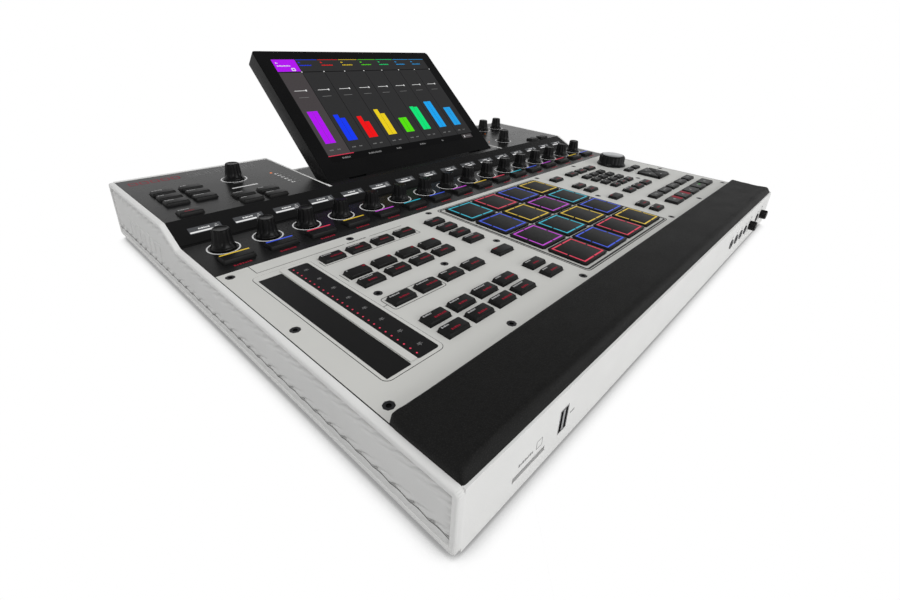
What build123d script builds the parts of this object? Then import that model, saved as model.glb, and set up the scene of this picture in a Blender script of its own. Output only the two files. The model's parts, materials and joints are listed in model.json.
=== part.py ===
"""Desk-top drum machine: pads, keys, knobs and a tilting screen on a low wedge-backed case.

Millimetres, +Z up, the user sits on the -Y side. The origin is on the table,
under the middle of the outer box. Every row of controls is placed from the
centre of the pad grid.
"""
import math
import os

from build123d import *

os.makedirs("parts", exist_ok=True)

# ---------------------------------------------------------------- case
cheek_thickness = 3.8
cheek_rim = 3.3
cheek_recess = 1.2
cheek_edge = 0.8
strip_to_cheek = 15.1
case_height = 36.5
foot_height = 4.0
foot_radius = 9.0
foot_inset = 34.0
panel_thickness = 2.0
shell_wall = 2.5
wall = 2.0
rest_to_pads = 13.1
pads_to_dark_strip = 12.1
strip_depth = 55.3
ramp_run = 25.0
deck_rise = 11.7
deck_depth = 123.5
case_corner = 3.0
assembly_gap = 0.2

# ---------------------------------------------------------------- pads
pad_size = 33.2
pad_spacing = 3.8
pad_corner_cut = 1.5
pad_height = 2.1
pad_skirt = 3.5
pad_bevel = 0.5
pad_travel = 1.0
pads_per_side = 4

# ---------------------------------------------------------------- rubber keys
key_gap = 0.35
key_width = 17.5
key_depth = 10.0
key_height = 2.6
key_skirt = 3.8
key_shoulder = 0.7
key_draft = 0.55
key_travel = 0.8
key_spacing = 4.6
row_pitch = 14.7
pads_to_inner_keys = 17.65
inner_to_outer_keys = 17.1
left_columns = 4
right_columns = 3
outer_rows = (8, 6, 5, 3, 1, 0)
left_inner_rows = (8, 7, 6, 5, 3, 1, 0)
right_inner_rows = (8, 6, 5, 3, 1, 0)
right_outer_rows = (8, 3)
middle_row = 4

# ---------------------------------------------------------------- keypad and cursor keys
keypad_width = 13.6
keypad_depth = 8.2
keypad_pitch_x = 17.2
keypad_pitch_y = 12.2
keypad_offset_x = 5.5
keypad_front = 4.6
keypad_columns = 3
keypad_rows = 4
small_key_width = 15.0
small_key_depth = 8.0
small_key_offset_x = 37.7
small_key_pitch = 19.6
small_key_y = 22.6
small_key_count = 2
cursor_width = 36.0
cursor_depth = 30.0
cursor_offset_x = 49.0
cursor_y = -5.0
cursor_slit = 1.2
cursor_notch = 3.0

# ---------------------------------------------------------------- transport keys
transport_count = 5
transport_pitch = 25.6
transport_start_x = 5.6
step_key_width = 21.5
step_key_depth = 10.0
step_key_y = -42.2
transport_key_width = 22.5
transport_key_depth = 14.0
transport_key_y = -62.6

# ---------------------------------------------------------------- encoders in the dark strip
encoder_count = 16
encoder_pitch = 32.9
encoder_behind_strip = 38.85
encoder_skirt_radius = 8.8
encoder_waist_radius = 7.2
encoder_top_radius = 5.9
encoder_skirt_height = 3.6
encoder_height = 14.8
encoder_flutes = 10
flute_depth = 0.45
land_share = 0.6
skirt_edge = 0.9
skirt_sides = 20
shaft_sides = 8
bore_sides = 12
shaft_radius = 3.0
shaft_clearance = 0.05
shaft_length = 4.6
knob_lift = 0.4
encoder_button_width = 22.2
encoder_button_depth = 10.6
encoder_button_height = 3.0
encoder_button_behind_strip = 17.45

# ---------------------------------------------------------------- display windows on the ramp
window_width = 23.7
window_height = 7.2
window_up_ramp = 10.3
window_thickness = 0.8

# ---------------------------------------------------------------- data wheel
wheel_skirt_radius = 18.4
wheel_body_radius = 16.3
wheel_top_radius = 13.7
wheel_disc_radius = 12.9
wheel_skirt_height = 3.2
wheel_height = 12.8
wheel_round = 2.2
wheel_flutes = 20
wheel_disc_lift = 0.3
wheel_offset_x = 46.3
wheel_y = 51.3

# ---------------------------------------------------------------- touch strips
strip_insert_width = 40.0
strip_insert_depth = 133.7
strip_insert_corner = 4.0
strip_insert_shift_y = 0.45
strip_insert_to_keys = 5.75
strip_insert_height = 0.2
strip_divider_width = 4.5
strip_divider_depth = 128.0
strip_divider_height = 1.0
strip_divider_from_left = 19.95

# ---------------------------------------------------------------- wrist rest
rest_front_rim = 2.2
rest_depth = 42.6
rest_height = 5.6
rest_front_lean = 3.2
rest_side_lean = 1.6
rest_side_gap = 0.4
rest_round = 1.2

# ---------------------------------------------------------------- screws in the panel
screw_head_radius = 3.0
screw_head_depth = 1.2
screw_shank_radius = 1.5
screw_sides = 8
screw_length = 4.5
screw_from_pads = 5.9
screw_beside_pads = 14.9
screw_from_cheek = 7.0
screw_between_keys = 38.2
screw_beside_strip = 7.9
screw_at_inner_keys = 13.6
screw_beside_keypad = 57.9

# ---------------------------------------------------------------- decks beside the screen
deck_knob_left_place = (-186.9, 72.0)
deck_knob_right_places = ((168.3, 27.0), (200.6, 92.0), (232.4, 92.0))
deck_key_spacing = 4.2
deck_key_start_y = 9.6
deck_left_outer_x = -248.0
deck_left_inner_x = -200.0
deck_inner_rows = 2
deck_outer_rows = 3
deck_key_columns = 2
deck_outer_start_y = 37.2
deck_right_x = 212.0
deck_right_spacing = 6.7
deck_right_y = 7.0

# ---------------------------------------------------------------- screen and its well
screen_half_width = 123.6
screen_reach = 168.2
screen_thickness = 16.0
screen_tilt = 40.3
glass_thickness = 1.5
glass_rim = 0.8
glass_start = 2.0
hinge_behind_deck_edge = 17.6
well_width = 259.0
well_floor_clearance = 1.8
well_lip = 7.5
hinge_pin_radius = 3.0
hinge_eye_radius = 6.0
hinge_block_width = 20.0
hinge_block_gap = 0.4
hinge_spacing = 180.0
hinge_pin_overhang = 8.0
hinge_notch_reach = 12.5

# ---------------------------------------------------------------- front edge
front_control_drop = 18.9
socket_sides = 16
phone_socket_x = (113.0, 130.6, 148.2, 165.8, 218.0)
phone_flange_radius = 4.75
phone_flange = 0.6
phone_barrel_radius = 4.0
phone_bore_radius = 1.8
phone_depth = 14.0
front_knob_x = (186.0, 237.5)
front_knob_radius = 5.0
front_knob_length = 6.2
front_knob_flutes = 10
card_slot_x = -223.65
card_slot_width = 25.9
card_slot_drop = 25.9
card_slot_height = 3.2
card_reader_depth = 26.0
card_reader_skin = 1.4
host_socket_x = -195.0
host_socket_drop = 19.35
host_socket_width = 8.0
host_socket_height = 15.3
host_socket_skin = 0.6
host_socket_depth = 15.0
host_tongue = 2.0

# ---------------------------------------------------------------- back edge
back_socket_drop = 21.5
line_socket_x = (-215.0, -189.0, -150.0, -124.0)
line_flange_radius = 6.5
line_barrel_radius = 5.0
line_bore_radius = 3.25
line_depth = 26.0
round_socket_x = (20.0, 46.0)
round_socket_radius = 8.6
round_recess_radius = 7.0
round_recess_depth = 9.0
round_socket_depth = 14.0
square_socket_x = 92.0
square_socket_width = 12.0
square_socket_height = 11.0
square_recess = 8.4
square_recess_depth = 11.0
square_socket_depth = 16.0
power_socket_x = 200.0
power_socket_radius = 5.6
power_bore_radius = 2.9
power_pin_radius = 1.0
power_socket_depth = 12.0

# ---------------------------------------------------------------- main board
board_below_keys = 0.4
board_thickness = 1.6
board_side_gap = 14.0
standoff_radius = 4.0
standoff_columns = (-240.0, 0.0, 240.0)
standoff_rows = (-75.0, 82.0)

# ---------------------------------------------------------------- derived places
tilt = math.radians(screen_tilt)
screen_half = screen_thickness / 2
panel_z = foot_height + case_height
deck_z = panel_z + deck_rise
floor_z = foot_height
pad_pitch = pad_size + pad_spacing
pad_half = (pads_per_side - 1) / 2 * pad_pitch + pad_size / 2
key_pitch_x = key_width + key_spacing
deck_key_pitch = key_width + deck_key_spacing
front_to_pads = rest_front_rim + rest_depth + rest_to_pads + pad_half
panel_depth = pad_half + pads_to_dark_strip
front_reach = front_to_pads + knob_lift + front_knob_length
strip_end = panel_depth + strip_depth
ramp_end = strip_end + ramp_run
back_reach = ramp_end + deck_depth
hinge_from_pads = ramp_end + hinge_behind_deck_edge
screen_back_reach = hinge_from_pads + screen_reach * math.cos(tilt) + screen_half * math.sin(tilt)
pad_y = (front_reach - screen_back_reach) / 2
front_y = pad_y - front_to_pads
strip_y = pad_y + panel_depth
ramp_y = pad_y + strip_end
deck_y = pad_y + ramp_end
back_y = pad_y + back_reach
hinge_y = pad_y + hinge_from_pads
hinge_z = deck_z - screen_half
well_floor_z = hinge_z - screen_half - well_floor_clearance
shell_foot_z = well_floor_z - shell_wall
ramp_angle = math.degrees(math.atan2(deck_rise, ramp_run))
inner_column = pad_half + pads_to_inner_keys + key_width / 2
outer_column = inner_column + inner_to_outer_keys + key_width
strip_right = -(outer_column + (left_columns - 1) * key_pitch_x + key_width / 2 + strip_insert_to_keys)
strip_centre_x = strip_right - strip_insert_width / 2
inner_half = strip_to_cheek + strip_insert_width - strip_right
half_width = inner_half + cheek_thickness
strip_centre_y = pad_y + strip_insert_shift_y
screw_outer_x = inner_half - screw_from_cheek
screw_middle_x = outer_column + screw_between_keys
screw_inner_x = pad_half + screw_beside_pads
outer_screw_columns = (
    -screw_outer_x,
    -screw_middle_x,
    -screw_inner_x,
    screw_inner_x,
    screw_middle_x,
    screw_outer_x,
)
middle_screw_columns = (
    -screw_outer_x,
    strip_right + screw_beside_strip,
    -outer_column - screw_at_inner_keys,
    -screw_inner_x,
    screw_inner_x,
    outer_column + screw_beside_keypad,
    screw_outer_x,
)
screw_rows = (
    (pad_half + screw_from_pads, outer_screw_columns),
    (0.0, middle_screw_columns),
    (-pad_half - screw_from_pads, outer_screw_columns),
)
deck_key_places = [
    (deck_left_outer_x, deck_key_start_y),
    (deck_right_x, deck_right_y),
    (deck_right_x + key_width + deck_right_spacing, deck_right_y),
]
for row in range(deck_outer_rows):
    for column in range(deck_key_columns):
        key_x = deck_left_outer_x + column * deck_key_pitch
        deck_key_places.append((key_x, deck_outer_start_y + row * row_pitch))
for row in range(deck_inner_rows):
    for column in range(deck_key_columns):
        key_x = deck_left_inner_x + column * deck_key_pitch
        deck_key_places.append((key_x, deck_key_start_y + row * row_pitch))
encoder_y = strip_y + encoder_behind_strip
encoder_button_y = strip_y + encoder_button_behind_strip
wheel_x = outer_column + 2 * key_pitch_x + wheel_offset_x
board_top_z = panel_z - max(key_skirt + key_travel, pad_skirt + pad_travel) - board_below_keys


def export(part, name):
    """Label one finished part and write it to its file."""
    part.label = name
    export_step(part, f"parts/{name}.step")


def row_y(row):
    """Y of one row of the common key grid."""
    return pad_y + (row - middle_row) * row_pitch


def encoder_x(index):
    """X of one encoder, counted from the left."""
    return (index - (encoder_count - 1) / 2) * encoder_pitch


def ramp_plane(x, up):
    """Plane lying on the ramp at one X, measured up its slope."""
    slope = math.radians(ramp_angle)
    place = (x, ramp_y + up * math.cos(slope), panel_z + up * math.sin(slope))
    return Plane(origin=place, x_dir=(1, 0, 0), z_dir=(0, -math.sin(slope), math.cos(slope)))


def square_with_cut_corners(side, cut):
    """A square outline with its four corners cut at 45 degrees."""
    with BuildSketch() as outline:
        Rectangle(side, side)
        chamfer(outline.vertices(), cut)
    return outline.sketch


def draft_angle(inset, height):
    """Angle at which a wall leans in by an inset over a height."""
    return math.degrees(math.atan2(inset, height))


def key_cap(width, depth, height):
    """A moulded key: straight skirt through the panel and a drafted top."""
    with BuildPart() as cap:
        with BuildSketch(Plane.XY.offset(-key_skirt)):
            Rectangle(width, depth)
        extrude(amount=key_skirt + key_shoulder)
        with BuildSketch(Plane.XY.offset(key_shoulder)):
            Rectangle(width, depth)
        extrude(amount=height - key_shoulder, taper=draft_angle(key_draft, height - key_shoulder))
    return cap.part


def key_group(cap, places):
    """Copies of one cap as separate solids, at x, y, z places."""
    with BuildPart() as group:
        with Locations(*places):
            add(cap)
    return group.part


def fluted_outline(radius, flutes):
    """Corner points of a grip: flat lands with V-shaped flutes between them."""
    step = math.pi / flutes
    points = []
    for index in range(flutes):
        for turn, reach in ((-land_share, radius), (land_share, radius), (1, radius - flute_depth)):
            angle = (2 * index + turn) * step
            points.append((reach * math.cos(angle), reach * math.sin(angle)))
    return points


def knob_foot(skirt, waist, skirt_height):
    """The flared skirt of a knob with the stub shaft under it, both finely facetted."""
    with BuildPart() as foot:
        with BuildSketch(Plane.XY.offset(-shaft_length)):
            RegularPolygon(shaft_radius, shaft_sides)
        extrude(amount=shaft_length)
        with BuildSketch(Plane.XY):
            RegularPolygon(skirt, skirt_sides)
        extrude(amount=skirt_edge)
        with BuildSketch(Plane.XY.offset(skirt_edge)):
            RegularPolygon(skirt, skirt_sides)
        rise = skirt_height - skirt_edge
        extrude(amount=rise, taper=draft_angle(skirt - waist, rise))
    return foot.part


def leaning_flute(waist, top, low, high):
    """Square bar that leans inwards with the grip, to cut one V-shaped flute."""
    rise = high - low
    with BuildPart() as flute:
        with BuildSketch(Plane.XY.offset(low)):
            with Locations((waist, 0)):
                RegularPolygon(flute_depth, 4)
        extrude(amount=math.hypot(waist - top, rise), dir=(top - waist, 0, rise))
    return flute.part


def fluted_knob(skirt, waist, top, skirt_height, height, flutes):
    """A knob: flared skirt, tapering fluted grip and stub shaft."""
    rise = height - skirt_height
    with BuildPart() as knob:
        add(knob_foot(skirt, waist, skirt_height))
        with BuildSketch(Plane.XY.offset(skirt_height)):
            RegularPolygon(waist, 2 * flutes)
        extrude(amount=rise, taper=draft_angle(waist - top, rise))
        with PolarLocations(0, flutes):
            add(leaning_flute(waist, top, skirt_height, height), mode=Mode.SUBTRACT)
    return knob.part


standard_key = key_cap(key_width, key_depth, key_height)

# ---------------------------------------------------------------- base pan
with BuildPart() as base_pan:
    with BuildSketch(Plane.XY.offset(floor_z)):
        with Locations((0, (front_y + back_y) / 2)):
            Rectangle(2 * inner_half, back_y - front_y)
    extrude(amount=wall)
    with BuildSketch(Plane.XZ.offset(-front_y)):
        with Locations((0, (floor_z + panel_z) / 2)):
            Rectangle(2 * inner_half, panel_z - floor_z)
    extrude(amount=-wall)
    with BuildSketch(Plane.XZ.offset(-back_y)):
        with Locations((0, (floor_z + shell_foot_z) / 2)):
            Rectangle(2 * inner_half, shell_foot_z - floor_z)
    extrude(amount=wall)
    with BuildSketch(Plane.XY.offset(floor_z + wall)):
        for row in standoff_rows:
            for column in standoff_columns:
                with Locations((column, pad_y + row)):
                    RegularPolygon(standoff_radius, shaft_sides)
    extrude(amount=board_top_z - board_thickness - floor_z - wall)
    with BuildSketch(Plane.XZ.offset(-front_y)):
        with Locations(*[(x, panel_z - front_control_drop) for x in phone_socket_x]):
            RegularPolygon(phone_barrel_radius + assembly_gap, socket_sides)
        with Locations(*[(x, panel_z - front_control_drop) for x in front_knob_x]):
            RegularPolygon(shaft_radius + shaft_clearance, bore_sides, major_radius=False)
        with Locations((card_slot_x, panel_z - card_slot_drop)):
            Rectangle(card_slot_width, card_slot_height)
        with Locations((host_socket_x, panel_z - host_socket_drop)):
            Rectangle(host_socket_width + 2 * assembly_gap, host_socket_height + 2 * assembly_gap)
    extrude(amount=-wall, mode=Mode.SUBTRACT)
    with BuildSketch(Plane.XZ.offset(-back_y)):
        with Locations(*[(x, panel_z - back_socket_drop) for x in line_socket_x]):
            RegularPolygon(line_barrel_radius + assembly_gap, socket_sides)
        with Locations(*[(x, panel_z - back_socket_drop) for x in round_socket_x]):
            RegularPolygon(round_socket_radius + assembly_gap, socket_sides)
        with Locations((square_socket_x, panel_z - back_socket_drop)):
            Rectangle(square_socket_width + 2 * assembly_gap, square_socket_height + 2 * assembly_gap)
        with Locations((power_socket_x, panel_z - back_socket_drop)):
            RegularPolygon(power_socket_radius + assembly_gap, socket_sides)
    extrude(amount=wall, mode=Mode.SUBTRACT)
export(base_pan.part, "base_pan")

# ---------------------------------------------------------------- end cheeks
for side, name in ((-1, "left_cheek"), (1, "right_cheek")):
    with BuildPart() as cheek:
        with BuildSketch(Plane.YZ.offset(side * inner_half)) as outline:
            with BuildLine():
                Polyline(
                    (front_y, floor_z),
                    (front_y, panel_z),
                    (ramp_y, panel_z),
                    (deck_y, deck_z),
                    (back_y, deck_z),
                    (back_y, floor_z),
                    close=True,
                )
            make_face()
            corners = outline.vertices().filter_by(lambda v: abs(v.Y - ramp_y) > assembly_gap)
            corners = corners.filter_by(lambda v: abs(v.Y - deck_y) > assembly_gap)
            fillet(corners, case_corner)
        extrude(amount=side * cheek_thickness)
        outer_face = cheek.faces().sort_by(Axis.X)[-1 if side > 0 else 0]
        chamfer(outer_face.edges(), cheek_edge)
        with BuildSketch(Plane.YZ.offset(side * half_width)):
            offset(outline.sketch_local, amount=-cheek_rim)
        extrude(amount=-side * cheek_recess, mode=Mode.SUBTRACT)
    export(cheek.part, name)

# ---------------------------------------------------------------- control panel
with BuildPart() as control_plate:
    with BuildSketch(Plane.XY.offset(panel_z - panel_thickness)):
        with Locations((0, (front_y + wall + strip_y) / 2)):
            Rectangle(2 * (inner_half - assembly_gap), strip_y - front_y - wall)
        with Locations((0, pad_y)):
            with GridLocations(pad_pitch, pad_pitch, pads_per_side, pads_per_side):
                side_length = pad_size + 2 * key_gap
                add(square_with_cut_corners(side_length, pad_corner_cut), mode=Mode.SUBTRACT)
        for row in outer_rows:
            for column in range(left_columns):
                with Locations((-outer_column - column * key_pitch_x, row_y(row))):
                    Rectangle(key_width + 2 * key_gap, key_depth + 2 * key_gap, mode=Mode.SUBTRACT)
        for row in left_inner_rows:
            with Locations((-inner_column, row_y(row))):
                Rectangle(key_width + 2 * key_gap, key_depth + 2 * key_gap, mode=Mode.SUBTRACT)
        for row in right_inner_rows:
            with Locations((inner_column, row_y(row))):
                Rectangle(key_width + 2 * key_gap, key_depth + 2 * key_gap, mode=Mode.SUBTRACT)
        for row in right_outer_rows:
            for column in range(right_columns):
                with Locations((outer_column + column * key_pitch_x, row_y(row))):
                    Rectangle(key_width + 2 * key_gap, key_depth + 2 * key_gap, mode=Mode.SUBTRACT)
        for row in range(keypad_rows):
            for column in range(keypad_columns):
                key_x = outer_column + keypad_offset_x + column * keypad_pitch_x
                with Locations((key_x, pad_y + keypad_front + row * keypad_pitch_y)):
                    Rectangle(keypad_width + 2 * key_gap, keypad_depth + 2 * key_gap, mode=Mode.SUBTRACT)
        for column in range(small_key_count):
            key_x = outer_column + 2 * key_pitch_x + small_key_offset_x + column * small_key_pitch
            with Locations((key_x, pad_y + small_key_y)):
                Rectangle(small_key_width + 2 * key_gap, small_key_depth + 2 * key_gap, mode=Mode.SUBTRACT)
        with Locations((outer_column + 2 * key_pitch_x + cursor_offset_x, pad_y + cursor_y)):
            Rectangle(cursor_width + 2 * key_gap, cursor_depth + 2 * key_gap, mode=Mode.SUBTRACT)
        for column in range(transport_count):
            key_x = outer_column + transport_start_x + column * transport_pitch
            with Locations((key_x, pad_y + step_key_y)):
                Rectangle(step_key_width + 2 * key_gap, step_key_depth + 2 * key_gap, mode=Mode.SUBTRACT)
            with Locations((key_x, pad_y + transport_key_y)):
                hole_width = transport_key_width + 2 * key_gap
                Rectangle(hole_width, transport_key_depth + 2 * key_gap, mode=Mode.SUBTRACT)
        with Locations((strip_centre_x, strip_centre_y)):
            hole_width = strip_insert_width + 2 * assembly_gap
            hole_depth = strip_insert_depth + 2 * assembly_gap
            RectangleRounded(hole_width, hole_depth, strip_insert_corner, mode=Mode.SUBTRACT)
        with Locations((wheel_x, pad_y + wheel_y)):
            bore_radius = shaft_radius + shaft_clearance
            RegularPolygon(bore_radius, bore_sides, major_radius=False, mode=Mode.SUBTRACT)
    extrude(amount=panel_thickness)
    for offset_y, columns in screw_rows:
        with BuildSketch(Plane.XY.offset(panel_z - screw_head_depth)):
            with Locations(*[(x, pad_y + offset_y) for x in columns]):
                RegularPolygon(screw_head_radius + assembly_gap, screw_sides)
        extrude(amount=screw_head_depth, mode=Mode.SUBTRACT)
        with BuildSketch(Plane.XY.offset(panel_z - panel_thickness)):
            with Locations(*[(x, pad_y + offset_y) for x in columns]):
                RegularPolygon(screw_shank_radius + assembly_gap, screw_sides)
        extrude(amount=panel_thickness, mode=Mode.SUBTRACT)
export(control_plate.part, "control_plate")

# ---------------------------------------------------------------- panel screws
with BuildPart() as screw:
    with BuildSketch(Plane.XY.offset(-screw_head_depth)):
        RegularPolygon(screw_head_radius, screw_sides)
    extrude(amount=screw_head_depth)
    with BuildSketch(Plane.XY.offset(-screw_length)):
        RegularPolygon(screw_shank_radius, screw_sides)
    extrude(amount=screw_length - screw_head_depth)

with BuildPart() as panel_screws:
    for offset_y, columns in screw_rows:
        with Locations(*[(x, pad_y + offset_y, panel_z) for x in columns]):
            add(screw.part)
export(panel_screws.part, "panel_screws")

# ---------------------------------------------------------------- rear deck moulding
with BuildPart() as rear_deck:
    with BuildSketch(Plane.YZ):
        with BuildLine():
            Polyline(
                (strip_y, panel_z - panel_thickness),
                (strip_y, panel_z),
                (ramp_y, panel_z),
                (deck_y, deck_z),
                (back_y, deck_z),
                (back_y, shell_foot_z),
                (ramp_y, shell_foot_z),
                (ramp_y, panel_z - panel_thickness),
                close=True,
            )
        make_face()
    extrude(amount=inner_half - assembly_gap, both=True)
    cavity_front = ramp_y + shell_wall
    cavity_back = back_y - shell_wall
    pocket_inner = well_width / 2 + shell_wall
    pocket_outer = inner_half - assembly_gap - shell_wall
    for side in (-1, 1):
        with BuildSketch(Plane.YZ.offset(side * pocket_inner)):
            with BuildLine():
                Polyline(
                    (cavity_front, shell_foot_z),
                    (cavity_front, panel_z - panel_thickness),
                    (deck_y, deck_z - shell_wall),
                    (cavity_back, deck_z - shell_wall),
                    (cavity_back, shell_foot_z),
                    close=True,
                )
            make_face()
        extrude(amount=side * (pocket_outer - pocket_inner), mode=Mode.SUBTRACT)
    with BuildSketch(Plane.YZ):
        with BuildLine():
            Polyline(
                (cavity_front, shell_foot_z),
                (cavity_front, panel_z - panel_thickness),
                (deck_y, deck_z - shell_wall),
                (deck_y + well_lip - shell_wall, deck_z - shell_wall),
                (deck_y + well_lip - shell_wall, shell_foot_z),
                close=True,
            )
        make_face()
    extrude(amount=pocket_inner - shell_wall, both=True, mode=Mode.SUBTRACT)
    with BuildSketch(Plane.XY.offset(well_floor_z)):
        well_front = deck_y + well_lip
        with Locations((0, (well_front + back_y) / 2)):
            Rectangle(well_width, back_y - well_front)
    extrude(amount=deck_z - well_floor_z, mode=Mode.SUBTRACT)
    with BuildSketch(Plane.XY.offset(panel_z - panel_thickness)):
        with Locations(*[(encoder_x(i), encoder_y) for i in range(encoder_count)]):
            RegularPolygon(shaft_radius + shaft_clearance, bore_sides, major_radius=False)
        with Locations(*[(encoder_x(i), encoder_button_y) for i in range(encoder_count)]):
            Rectangle(encoder_button_width + 2 * key_gap, encoder_button_depth + 2 * key_gap)
    extrude(amount=panel_thickness, mode=Mode.SUBTRACT)
    with BuildSketch(Plane.XY.offset(deck_z - shell_wall)):
        with Locations(*[(x, deck_y + y) for x, y in deck_key_places]):
            Rectangle(key_width + 2 * key_gap, key_depth + 2 * key_gap)
        with Locations((deck_knob_left_place[0], deck_y + deck_knob_left_place[1])):
            RegularPolygon(shaft_radius + shaft_clearance, bore_sides, major_radius=False)
        with Locations(*[(x, deck_y + y) for x, y in deck_knob_right_places]):
            RegularPolygon(shaft_radius + shaft_clearance, bore_sides, major_radius=False)
    extrude(amount=shell_wall, mode=Mode.SUBTRACT)
    for index in range(encoder_count):
        with BuildSketch(ramp_plane(encoder_x(index), window_up_ramp + window_height / 2)):
            Rectangle(window_width, window_height)
        extrude(amount=-window_thickness, mode=Mode.SUBTRACT)
export(rear_deck.part, "rear_deck")

# ---------------------------------------------------------------- display windows
with BuildPart() as display_windows:
    for index in range(encoder_count):
        with BuildSketch(ramp_plane(encoder_x(index), window_up_ramp + window_height / 2)):
            Rectangle(window_width - 2 * assembly_gap, window_height - 2 * assembly_gap)
        extrude(amount=-window_thickness)
export(display_windows.part, "display_windows")

# ---------------------------------------------------------------- main board and feet
with BuildPart() as main_board:
    with BuildSketch(Plane.XY.offset(board_top_z - board_thickness)):
        board_front = pad_y - panel_depth
        board_back = ramp_y - board_thickness
        with Locations((0, (board_front + board_back) / 2)):
            Rectangle(2 * (inner_half - board_side_gap), board_back - board_front)
    extrude(amount=board_thickness)
export(main_board.part, "main_board")

with BuildPart() as rubber_feet:
    with BuildSketch(Plane.XY):
        foot_x = half_width - foot_inset
        for foot_y in (front_y + foot_inset, back_y - foot_inset):
            with Locations((-foot_x, foot_y), (foot_x, foot_y)):
                Circle(foot_radius)
    extrude(amount=foot_height)
export(rubber_feet.part, "rubber_feet")

# ---------------------------------------------------------------- wrist rest
with BuildPart() as wrist_rest:
    rest_half = inner_half - rest_side_gap
    rest_front = front_y + rest_front_rim
    rest_back = rest_front + rest_depth
    with BuildSketch(Plane.XY.offset(panel_z)):
        with Locations((0, (rest_front + rest_back) / 2)):
            Rectangle(2 * rest_half, rest_back - rest_front)
    with BuildSketch(Plane.XY.offset(panel_z + rest_height)):
        with Locations((0, (rest_front + rest_front_lean + rest_back) / 2)):
            Rectangle(2 * (rest_half - rest_side_lean), rest_back - rest_front - rest_front_lean)
    loft()
    fillet(wrist_rest.faces().sort_by(Axis.Z)[-1].edges(), rest_round)
export(wrist_rest.part, "wrist_rest")

# ---------------------------------------------------------------- touch strips
with BuildPart() as touch_strips:
    with BuildSketch(Plane.XY.offset(panel_z - panel_thickness)):
        with Locations((strip_centre_x, strip_centre_y)):
            RectangleRounded(strip_insert_width, strip_insert_depth, strip_insert_corner)
    extrude(amount=panel_thickness + strip_insert_height)
    with BuildSketch(Plane.XY.offset(panel_z)):
        with Locations((strip_centre_x - strip_insert_width / 2 + strip_divider_from_left, strip_centre_y)):
            Rectangle(strip_divider_width, strip_divider_depth)
    extrude(amount=strip_divider_height)
export(touch_strips.part, "touch_strips")

# ---------------------------------------------------------------- sixteen pads
with BuildPart() as pad_blank:
    with BuildSketch(Plane.XY.offset(-pad_skirt)):
        add(square_with_cut_corners(pad_size, pad_corner_cut))
    extrude(amount=pad_skirt + pad_height)
    chamfer(pad_blank.faces().sort_by(Axis.Z)[-1].edges(), pad_bevel)

for index in range(pads_per_side * pads_per_side):
    pad_column = index % pads_per_side - (pads_per_side - 1) / 2
    pad_row = index // pads_per_side - (pads_per_side - 1) / 2
    with BuildPart() as pad:
        with Locations((pad_column * pad_pitch, pad_y + pad_row * pad_pitch, panel_z)):
            add(pad_blank.part)
    export(pad.part, f"pad_{index + 1:02d}")

# ---------------------------------------------------------------- key groups
left_places = []
for row in outer_rows:
    for column in range(left_columns):
        left_places.append((-outer_column - column * key_pitch_x, row_y(row), panel_z))
for row in left_inner_rows:
    left_places.append((-inner_column, row_y(row), panel_z))
export(key_group(standard_key, left_places), "left_panel_buttons")

right_places = []
for row in right_inner_rows:
    right_places.append((inner_column, row_y(row), panel_z))
for row in right_outer_rows:
    for column in range(right_columns):
        right_places.append((outer_column + column * key_pitch_x, row_y(row), panel_z))
export(key_group(standard_key, right_places), "right_panel_buttons")

deck_places = [(x, deck_y + y, deck_z) for x, y in deck_key_places]
export(key_group(standard_key, deck_places), "deck_buttons")

encoder_key = key_cap(encoder_button_width, encoder_button_depth, encoder_button_height)
encoder_places = [(encoder_x(i), encoder_button_y, panel_z) for i in range(encoder_count)]
export(key_group(encoder_key, encoder_places), "encoder_buttons")

step_key = key_cap(step_key_width, step_key_depth, key_height)
transport_key = key_cap(transport_key_width, transport_key_depth, key_height)
with BuildPart() as transport_buttons:
    for column in range(transport_count):
        key_x = outer_column + transport_start_x + column * transport_pitch
        with Locations((key_x, pad_y + step_key_y, panel_z)):
            add(step_key)
        with Locations((key_x, pad_y + transport_key_y, panel_z)):
            add(transport_key)
export(transport_buttons.part, "transport_buttons")

# ---------------------------------------------------------------- keypad, small keys and cursor cluster
keypad_key = key_cap(keypad_width, keypad_depth, key_height)
small_key = key_cap(small_key_width, small_key_depth, key_height)
with BuildPart() as cursor_block:
    add(key_cap(cursor_width, cursor_depth, key_height))
    slit_angle = math.degrees(math.atan2(cursor_depth, cursor_width))
    with BuildSketch(Plane.XY.offset(-key_skirt)):
        for turn in (-slit_angle, slit_angle):
            with Locations(Location((0, 0, 0), (0, 0, turn))):
                Rectangle(2 * cursor_width, cursor_slit)
        with GridLocations(cursor_width, cursor_depth, 2, 2):
            Rectangle(2 * cursor_notch, 2 * cursor_notch, rotation=45)
    extrude(amount=key_skirt + key_height, mode=Mode.SUBTRACT)

with BuildPart() as keypad_keys:
    for row in range(keypad_rows):
        for column in range(keypad_columns):
            key_x = outer_column + keypad_offset_x + column * keypad_pitch_x
            with Locations((key_x, pad_y + keypad_front + row * keypad_pitch_y, panel_z)):
                add(keypad_key)
    for column in range(small_key_count):
        key_x = outer_column + 2 * key_pitch_x + small_key_offset_x + column * small_key_pitch
        with Locations((key_x, pad_y + small_key_y, panel_z)):
            add(small_key)
    cursor_x = outer_column + 2 * key_pitch_x + cursor_offset_x
    with Locations((cursor_x, pad_y + cursor_y, panel_z)):
        add(cursor_block.part)
export(keypad_keys.part, "keypad_keys")

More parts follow.
